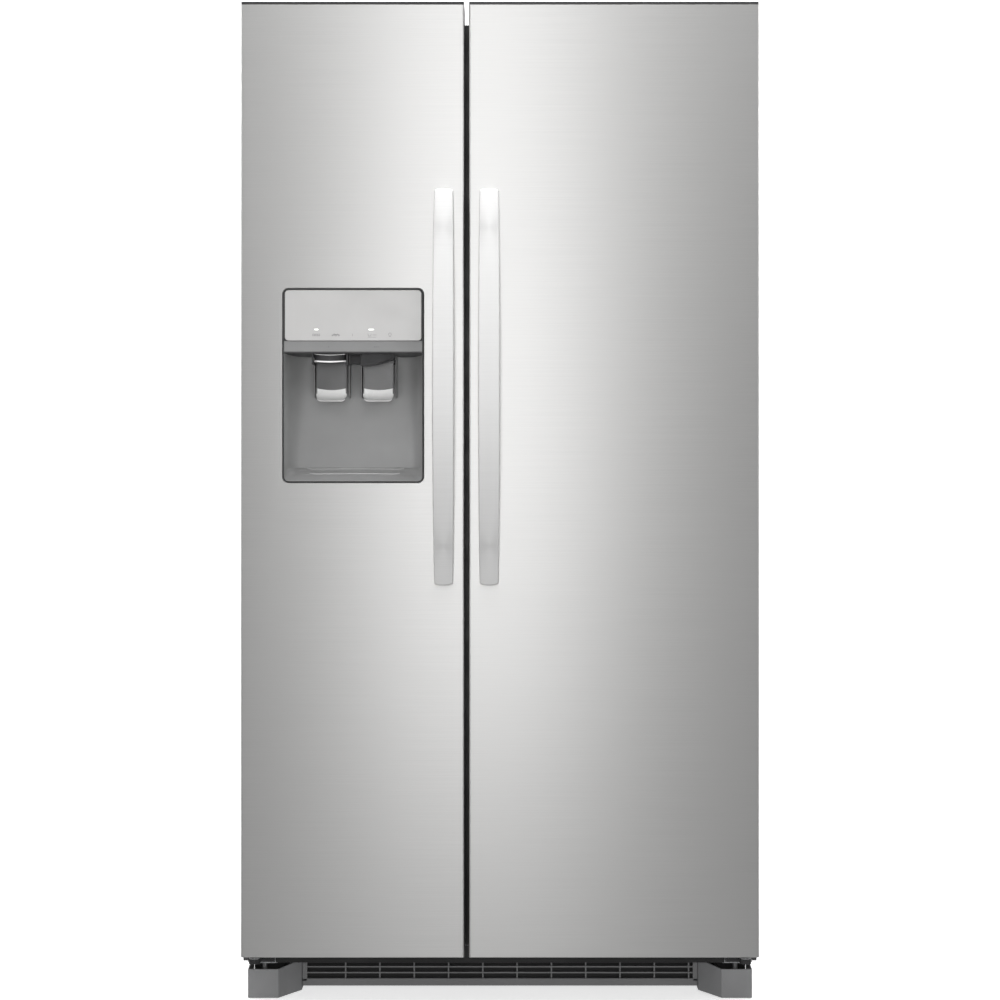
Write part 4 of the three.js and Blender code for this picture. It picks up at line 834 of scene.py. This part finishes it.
def paddle_cheeks():
    """Thin guides at each side of the paddles, and the cover over their axles, in dark plastic as painted
    shade.
    """
    shape = Shape()
    for centre in PADDLE_CENTRES.values():
        for side in (-1, 1):
            x = centre + side * 31.0
            outline = [(-312, 1158), (-312, 1096), (-304, 1082), (-262, 1082), (-262, 1158)]
            shape.prism(outline, "x", x - 0.7, x + 0.7, 0.3)
    shape.made("paddle_guides", "freezer_door", "recess_plastic", STRIP_GREY, sharp=45)
    # Painted shade: the axle cover is dark plastic where the top of the recess falls into shade.
    bar = Shape().box((-335, -187), (-303, -262), (1144, 1159), 1.0)
    bar.made("paddle_axle_cover", "freezer_door", "recess_plastic", FINISH["dark_plastic"], sharp=45)


def chute_flap():
    """Round hatch with a raised seal ring under it."""
    lo, hi = box_mm("ice_chute_flap")
    x, y, radius = (lo.x + hi.x) / 2, (lo.y + hi.y) / 2, (hi.x - lo.x) / 2
    profile = [(0, lo.z + 0.4), (radius - 6, lo.z + 0.4), (radius - 5, lo.z), (radius - 2, lo.z),
               (radius - 1, lo.z + 0.5), (radius, lo.z + 1.2), (radius, hi.z - 0.5), (radius - 0.5, hi.z),
               (0, hi.z)]
    hatch = Shape().lathe(profile, (x, y, 0), steps=40)
    body = BODY_OF_NODE["ice_chute_flap"]
    hatch.made("chute_hatch", body, "black_plastic", nodes=["ice_chute_flap"], sharp=50)


# ---- Front of the base ----

GRILLE_OVERHANG = 3.6                   # how far the moulding reaches past the CAD grille at each end
GRILLE_BARS = (35.8, 46.5, 57.2)        # heights of the thin bars
GRILLE_PITCH = 62.6                     # between its upright ribs
HINGE_PIN = (437.0, -350.0)

def toe_grille():
    """Grille moulding: a stiff frame with thin rounded bars, and black sheets behind it and to each side as
    painted shade.
    """
    lo, hi = box_mm("toe_grille")
    x, y, z = grow((lo.x, hi.x), GRILLE_OVERHANG), (lo.y, hi.y), (lo.z, hi.z)
    shape = Shape()
    shape.box(x, y, (z[0], z[0] + 13.5), 1.2)
    shape.box(x, y, (z[1] - 21, z[1]), 1.2)
    for edge in ((x[0], x[0] + 9), (x[1] - 9, x[1])):
        shape.box(edge, y, (z[0] + 8, z[1] - 15), 1.2)
    for height in GRILLE_BARS:
        shape.box((x[0] + 6, x[1] - 6), (y[0] + 0.6, y[1] - 1), (height - 1.3, height + 1.3), 0.8)
    for k in range(-5, 6):
        rib = GRILLE_PITCH * (k + 0.5)
        shape.box((rib - 1.4, rib + 1.4), (y[0] + 1.4, y[1] - 0.5), (z[0] + 10, z[1] - 18), 0.8)
    shape.made("toe_grille_moulding", "cabinet", "dark_plastic", GRILLE_GREY, nodes=["toe_grille"], sharp=45)
    # Painted shade: black sheets behind the grille and beside the leg covers, where the base is dark.
    shade_sheets = Shape().box(x, (y[1] + 3, y[1] + 5), (z[0] + 3, z[1] - 1), 0.5)
    for side in (-1, 1):
        plate = sorted((side * 366, side * 450))
        shade_sheets.box(plate, (-227, -225), (8, 93), 0.5)
    shade_sheets.made("painted_shade_sheets", "cabinet", "black_plastic", sharp=45)


def hinge_washers():
    """Bright washers under the doors, on the lower hinge pins."""
    profile = [(4.4, 82.0), (9.6, 82.0), (10.2, 82.6), (10.2, 84.0), (9.6, 84.6), (4.4, 84.6)]
    for name, side in (("left", -1), ("right", 1)):
        washer = Shape().lathe(profile + profile[:1], (side * HINGE_PIN[0], HINGE_PIN[1], 0), steps=28)
        washer.made(f"hinge_washer_{name}", "cabinet", "bright_steel", sharp=45)


def mullion():
    """Black strips as painted shade: one on the cabinet front between the two door seals, and one under the
    doors.
    """
    lo, hi = box_mm("cabinet_wrapper")
    left, right = box_mm("freezer_door_gasket")[1].x, box_mm("fridge_door_gasket")[0].x
    # Painted shade: black strips in the door gap and under the doors, where the front lies in shade.
    strip = Shape().box((left + 2.5, right - 2.5), (lo.y - 1.2, lo.y - 0.1), (lo.z + 31, hi.z - 1), 0.5)
    strip.box((-404, 404), (lo.y + 0.2, lo.y + 2.1), (lo.z - 1, lo.z + 29.8), 0.5)
    strip.made("mullion_shade_strip", "cabinet", "black_plastic", sharp=45)


# ---- Inside ----

SHELVES = ("freezer_shelf_lower", "freezer_shelf_upper", "glass_shelf_lower", "glass_shelf_upper",
           "crisper_cover")
TRIM = 0.4                              # how far a moulded trim stands out from what it covers


def shelf_trims():
    """White mouldings round the front and back edges of each glass shelf."""
    for name in SHELVES:
        lo, hi = box_mm(name)
        trim = Shape()
        trim.box((lo.x, hi.x), (lo.y - TRIM, lo.y + 14 + TRIM), (lo.z - TRIM, lo.z + 15 + TRIM), 2.2, 3)
        trim.box((lo.x, hi.x), (hi.y - 8 - TRIM, hi.y + TRIM), (lo.z + 4 - TRIM, hi.z + TRIM), 1.6, 3)
        trim.made(f"{name}_trim", "cabinet", "liner_white", WHITE_TRIM, sharp=45)


def drawer_trims():
    """White pull across the front of each crisper drawer."""
    for name, body in (("crisper_drawer_upper", "upper_crisper"), ("crisper_drawer_lower", "lower_crisper")):
        lo, hi = box_mm(name)
        front = lo.y + 12
        pull = Shape()
        pull.box((lo.x + 4, hi.x - 4), (front - 1.4, front - 0.1), (hi.z - 27, hi.z - 2), 0.6)
        grip = (lo.x + 109, hi.x - 109)
        pull.box(grip, (lo.y - TRIM, front - 0.6), (hi.z - 20 - TRIM, hi.z - 16 + TRIM), 1.2, 3)
        pull.made(f"{name}_pull", body, "liner_white", WHITE_TRIM, sharp=45)


def bin_trims():
    """White bead along the inner edge of each door bin."""
    for door in ("freezer", "fridge"):
        for level in ("lower", "upper"):
            lo, hi = box_mm(f"{door}_bin_{level}")
            x, y = grow((lo.x, hi.x), TRIM), (hi.y - 3 - TRIM, hi.y + TRIM)
            bead = Shape().box(x, y, (hi.z - 12, hi.z + TRIM), 1.5, 3)
            bead.made(f"{door}_bin_{level}_bead", f"{door}_door", "liner_white", WHITE_TRIM, sharp=45)


def lamp_lens():
    """Ribbed lens over the lamp in the control housing."""
    lens = Shape().box((91, 289), (-19, 119), (1642.5, 1645), 0.8)
    for k in range(18):
        x = 100 + k * 10.6
        lens.box((x - 1.6, x + 1.6), (-14, 114), (1641.3, 1643.5), 0.7)
    lens.made("lamp_lens", "cabinet", "clear_plastic", LENS_WHITE, sharp=45)


def air_duct():
    """Air duct up the back of the fresh food compartment, with a slotted outlet above each shelf."""
    x, y = (150, 232), (357, 373.5)
    duct = Shape().box(x, y, (690, 1625), 5.0, 4)
    duct.made("air_duct", "cabinet", "liner_white", WHITE_TRIM, sharp=45)
    slats = Shape()
    for level in (820, 1130, 1480):
        for k in range(4):
            z = level + 12 * k
            slats.box((x[0] + 14, x[1] - 14), (y[0] - 0.5, y[0] + 2), (z, z + 5), 0.8)
    slats.made("air_duct_outlets", "cabinet", "grey_plastic", sharp=45)


def evaporator_fan_guard():
    """Ring guard on the freezer's air cover."""
    lo, hi = box_mm("evaporator_module")
    x, y, z = (lo.x + hi.x) / 2, lo.y - 1.6, 1150.0
    guard = Shape()
    for radius in (16, 30, 44, 58):
        angles = [k * math.pi / 24 for k in range(48)]
        ring = [(x + radius * math.cos(t), y, z + radius * math.sin(t)) for t in angles]
        guard.tube(ring, 1.6, 8, closed=True)
    for k in range(8):
        t = k * math.pi / 4
        ends = [(x + r * math.cos(t), y, z + r * math.sin(t)) for r in (14, 60)]
        guard.tube(ends, 1.4, 8)
    guard.made("evaporator_fan_guard", "cabinet", "liner_white", WHITE_TRIM, sharp=45)


def dispenser_access_cover():
    """Screwed cover on the inside of the freezer door, over the back of the dispenser."""
    back = box_mm("freezer_door_liner")[1].y
    cover = Shape().box((-372, -142), (back - 0.1, back + 1.9), (926, 1262), 0.9, 3)
    cover.made("dispenser_access_cover", "freezer_door", "liner_white", WHITE_TRIM, sharp=45)
    screws = Shape()
    for x in (-360, -154):
        for z in (940, 1094, 1248):
            screws.lathe([(0, 3.4), (2.4, 3.3), (3.8, 2.4), (4.2, 1.7), (0, 1.7)], (x, back, z), "y", 16)
    screws.made("access_cover_screws", "freezer_door", "bright_steel", sharp=45)


# ---- Back ----


def back_screws():
    """Pan head screws round the rear cover and the back panel."""
    screws = Shape()
    head = [(0, 2.2), (2.6, 2.1), (4.2, 1.2), (4.6, 0.0), (0, 0.0)]
    cover = box_mm("rear_cover")[1].y - 12
    panel = box_mm("cabinet_back_panel")[0].y + 2
    for x in (-425, -212, 0, 212, 425):
        for z in (58, 251):
            screws.lathe(head, (x, cover, z), "y", 16)
        screws.lathe(head, (x, panel, 1738), "y", 16)
    for x in (-441, 441):
        for k in range(9):
            screws.lathe(head, (x, panel, 300 + 165 * k), "y", 16)
    screws.made("back_screws", "cabinet", "bright_steel", sharp=45)


def back_beads():
    """Pressed stiffening beads on the back panel, between its ribs."""
    panel = box_mm("cabinet_back_panel")[0].y + 2
    beads = Shape()
    for x in (-200, 0, 200):
        beads.tube([(x, panel, z) for z in (440, 1620)], 3.6, 12)
    for z in (350, 1690):
        beads.tube([(-380, panel, z), (380, panel, z)], 3.6, 12)
    beads.made("back_panel_beads", "cabinet", "zinc_steel", sharp=45)


# ---- Remaining CAD nodes ----

BEVELS = {
    "cabinet_wrapper": 2.5, "freezer_liner": 2.0, "fresh_food_liner": 2.0, "base_chassis": 0.5,
    "rear_cover": 0.8, "leg_cover_left": 1.2, "leg_cover_right": 1.2, "hinge_cover_left": 2.0,
    "hinge_cover_right": 2.0, "compressor": 1.0, "ice_maker_arm": 0.0, "condenser_coil": 0.0,
}
DEFAULT_BEVEL = 0.7


def finish_cad_nodes():
    """Rounds the edges of each CAD node that shows, and gives it its own material."""
    for name, obj in frame["nodes"].items():
        slot = SLOT_OF_NODE[name]
        obj.data.materials.clear()
        obj.data.materials.append(FINISH[slot])
        if obj.hide_render:
            continue
        weld = obj.modifiers.new("weld", "WELD")
        weld.merge_threshold = 0.00002
        planar = obj.modifiers.new("planar", "DECIMATE")
        planar.decimate_type = "DISSOLVE"
        planar.angle_limit = math.radians(1.0)
        width = BEVELS.get(name, DEFAULT_BEVEL)
        if width:
            bevel = obj.modifiers.new("edge", "BEVEL")
            bevel.width = width * MM
            bevel.segments = 3
            bevel.limit_method = "ANGLE"
            bevel.angle_limit = math.radians(32)
            bevel.use_clamp_overlap = True
        obj.data.polygons.foreach_set("use_smooth", [True] * len(obj.data.polygons))
        obj.data.set_sharp_from_angle(angle=math.radians(40))
        shading = obj.modifiers.new("even_shading", "WEIGHTED_NORMAL")
        shading.keep_sharp = False


# ---- Stage, lights and camera ----

CAMERA_DISTANCE = 4.387
CAMERA_HEIGHT = 0.898
CAMERA_LENS = 81.65
STAGE_HALF = 9.0
STAGE_BEND = 6.5                        # where the floor starts to sweep up, behind every viewpoint
STAGE_BEND_RADIUS = 1.2
WORLD_PLACES = (0.0, 0.22, 0.38, 0.5, 0.62, 1.0)         # from straight down to straight up
WORLD_LEVELS = (0.55, 0.6, 0.10, 0.16, 0.36, 0.40)


def stage():
    """Pale floor that sweeps up into a plain backdrop."""
    profile = [(-STAGE_HALF, 0.0), (STAGE_BEND, 0.0)]
    for k in range(1, 17):
        t = k / 16 * HALF_PI
        profile.append((STAGE_BEND + STAGE_BEND_RADIUS * math.sin(t), STAGE_BEND_RADIUS * (1 - math.cos(t))))
    profile += [(STAGE_BEND + STAGE_BEND_RADIUS, STAGE_HALF)]
    bm = bmesh.new()
    rows = [[bm.verts.new((x, y, z)) for x in (-STAGE_HALF, STAGE_HALF)] for y, z in profile]
    for a, b in zip(rows, rows[1:]):
        bm.faces.new((a[0], a[1], b[1], b[0]))
    mesh = bpy.data.meshes.new("studio_sweep")
    bm.to_mesh(mesh)
    bm.free()
    mesh.polygons.foreach_set("use_smooth", [True] * len(mesh.polygons))
    floor = bpy.data.objects.new("studio_sweep", mesh)
    bpy.context.scene.collection.objects.link(floor)
    material, tree, shader = start_material("studio_paper")
    tone = ramp(tree, noise(tree, 0.8), (0.83, 0.83, 0.83), (0.86, 0.86, 0.86))
    tree.links.new(tone, shader.inputs["Base Color"])
    tree.links.new(tone, shader.inputs["Emission Color"])
    set_sockets(shader, {"Roughness": 0.9, "Emission Strength": 0.7})
    mesh.materials.append(material)
    floor.visible_glossy = False


def softbox(name, at, towards, width, height, power, glossy=True):
    """Rectangular light. With glossy off, nothing reflects it."""
    light = bpy.data.lights.new(name, "AREA")
    light.shape = "RECTANGLE"
    light.size, light.size_y, light.energy = width, height, power
    obj = bpy.data.objects.new(name, light)
    bpy.context.scene.collection.objects.link(obj)
    obj.location = at
    obj.rotation_euler = (Vector(towards) - Vector(at)).to_track_quat("-Z", "Y").to_euler()
    obj.visible_glossy = glossy


def lights():
    """A dim world in even bands, a tall strip that the steel reflects, and soft fill from every side."""
    world = bpy.data.worlds.new("studio")
    bpy.context.scene.world = world
    world.use_nodes = True
    sky = world.node_tree
    background = sky.nodes["Background"]
    coords = sky.nodes.new("ShaderNodeTexCoord")
    axes = sky.nodes.new("ShaderNodeSeparateXYZ")
    height = sky.nodes.new("ShaderNodeMapRange")
    height.inputs["From Min"].default_value = -1.0
    tone = sky.nodes.new("ShaderNodeValToRGB")
    stops = tone.color_ramp.elements
    for place, level in zip(WORLD_PLACES, WORLD_LEVELS):
        stop = stops[0] if place == 0.0 else stops[-1] if place == 1.0 else stops.new(place)
        stop.color = (level, level, level, 1.0)
    sky.links.new(coords.outputs["Generated"], axes.inputs["Vector"])
    sky.links.new(axes.outputs["Z"], height.inputs["Value"])
    sky.links.new(height.outputs["Result"], tone.inputs["Fac"])
    sky.links.new(tone.outputs["Color"], background.inputs["Color"])
    softbox("key_upper", (-0.08, -4.8, 2.93), (-0.08, 0.0, 2.93), 0.60, 2.45, 11.6)
    softbox("key_lower", (-0.08, -4.8, 0.88), (-0.08, 0.0, 0.88), 0.60, 1.65, 12.6)
    softbox("overhead", (0.0, -1.2, 4.0), (0.0, 0.2, 0.6), 3.0, 1.6, 60)
    softbox("side_left", (-3.6, -2.6, 1.9), (0.0, 0.0, 0.9), 1.6, 2.4, 22)
    softbox("side_right", (3.6, -2.6, 1.9), (0.0, 0.0, 0.9), 1.6, 2.4, 22)
    softbox("front_fill", (0.0, -5.4, 0.9), (0.0, 0.0, 0.9), 3.2, 1.6, 85, glossy=False)
    softbox("backdrop_left", (-2.8, 0.9, 3.0), (-1.6, 3.4, 1.0), 1.5, 2.5, 120)
    softbox("backdrop_right", (2.8, 0.9, 3.0), (1.6, 3.4, 1.0), 1.5, 2.5, 120)


def camera():
    data = bpy.data.cameras.new("camera")
    data.lens, data.sensor_width = CAMERA_LENS, 36.0
    data.clip_start, data.clip_end = 0.05, 100
    obj = bpy.data.objects.new("camera", data)
    bpy.context.scene.collection.objects.link(obj)
    obj.location = (0.0, -CAMERA_DISTANCE, CAMERA_HEIGHT)
    obj.rotation_euler = (HALF_PI, 0, 0)
    bpy.context.scene.camera = obj


# ---- The refrigerator ----


def doors():
    opening = (grow(DISPENSER_X, 0.4), grow(DISPENSER_Z, 0.4), 10.4)
    door_shell("freezer_door_shell", "freezer_door_skin", -1, opening)
    door_shell("fridge_door_shell", "fridge_door_skin", 1)
    for door in ("freezer_door", "fridge_door"):
        handle(f"{door}_strap", f"{door}_handle")
        gasket(f"{door}_seal", f"{door}_gasket")


def dispenser():
    dispenser_recess()
    recess_ceiling()
    ledge_beads()
    dispenser_bezel()
    dispenser_strip()
    fascia()
    ice_spout()
    water_hood()
    paddle("ice_paddle", BODY_OF_NODE["ice_paddle"])
    paddle("water_paddle", BODY_OF_NODE["water_paddle"])
    paddle_cheeks()
    chute_flap()


bpy.context.scene.view_settings.view_transform = "Standard"
stage()
lights()
camera()
doors()
dispenser()
toe_grille()
hinge_washers()
mullion()
shelf_trims()
drawer_trims()
bin_trims()
lamp_lens()
air_duct()
evaporator_fan_guard()
dispenser_access_cover()
back_screws()
back_beads()
finish_cad_nodes()
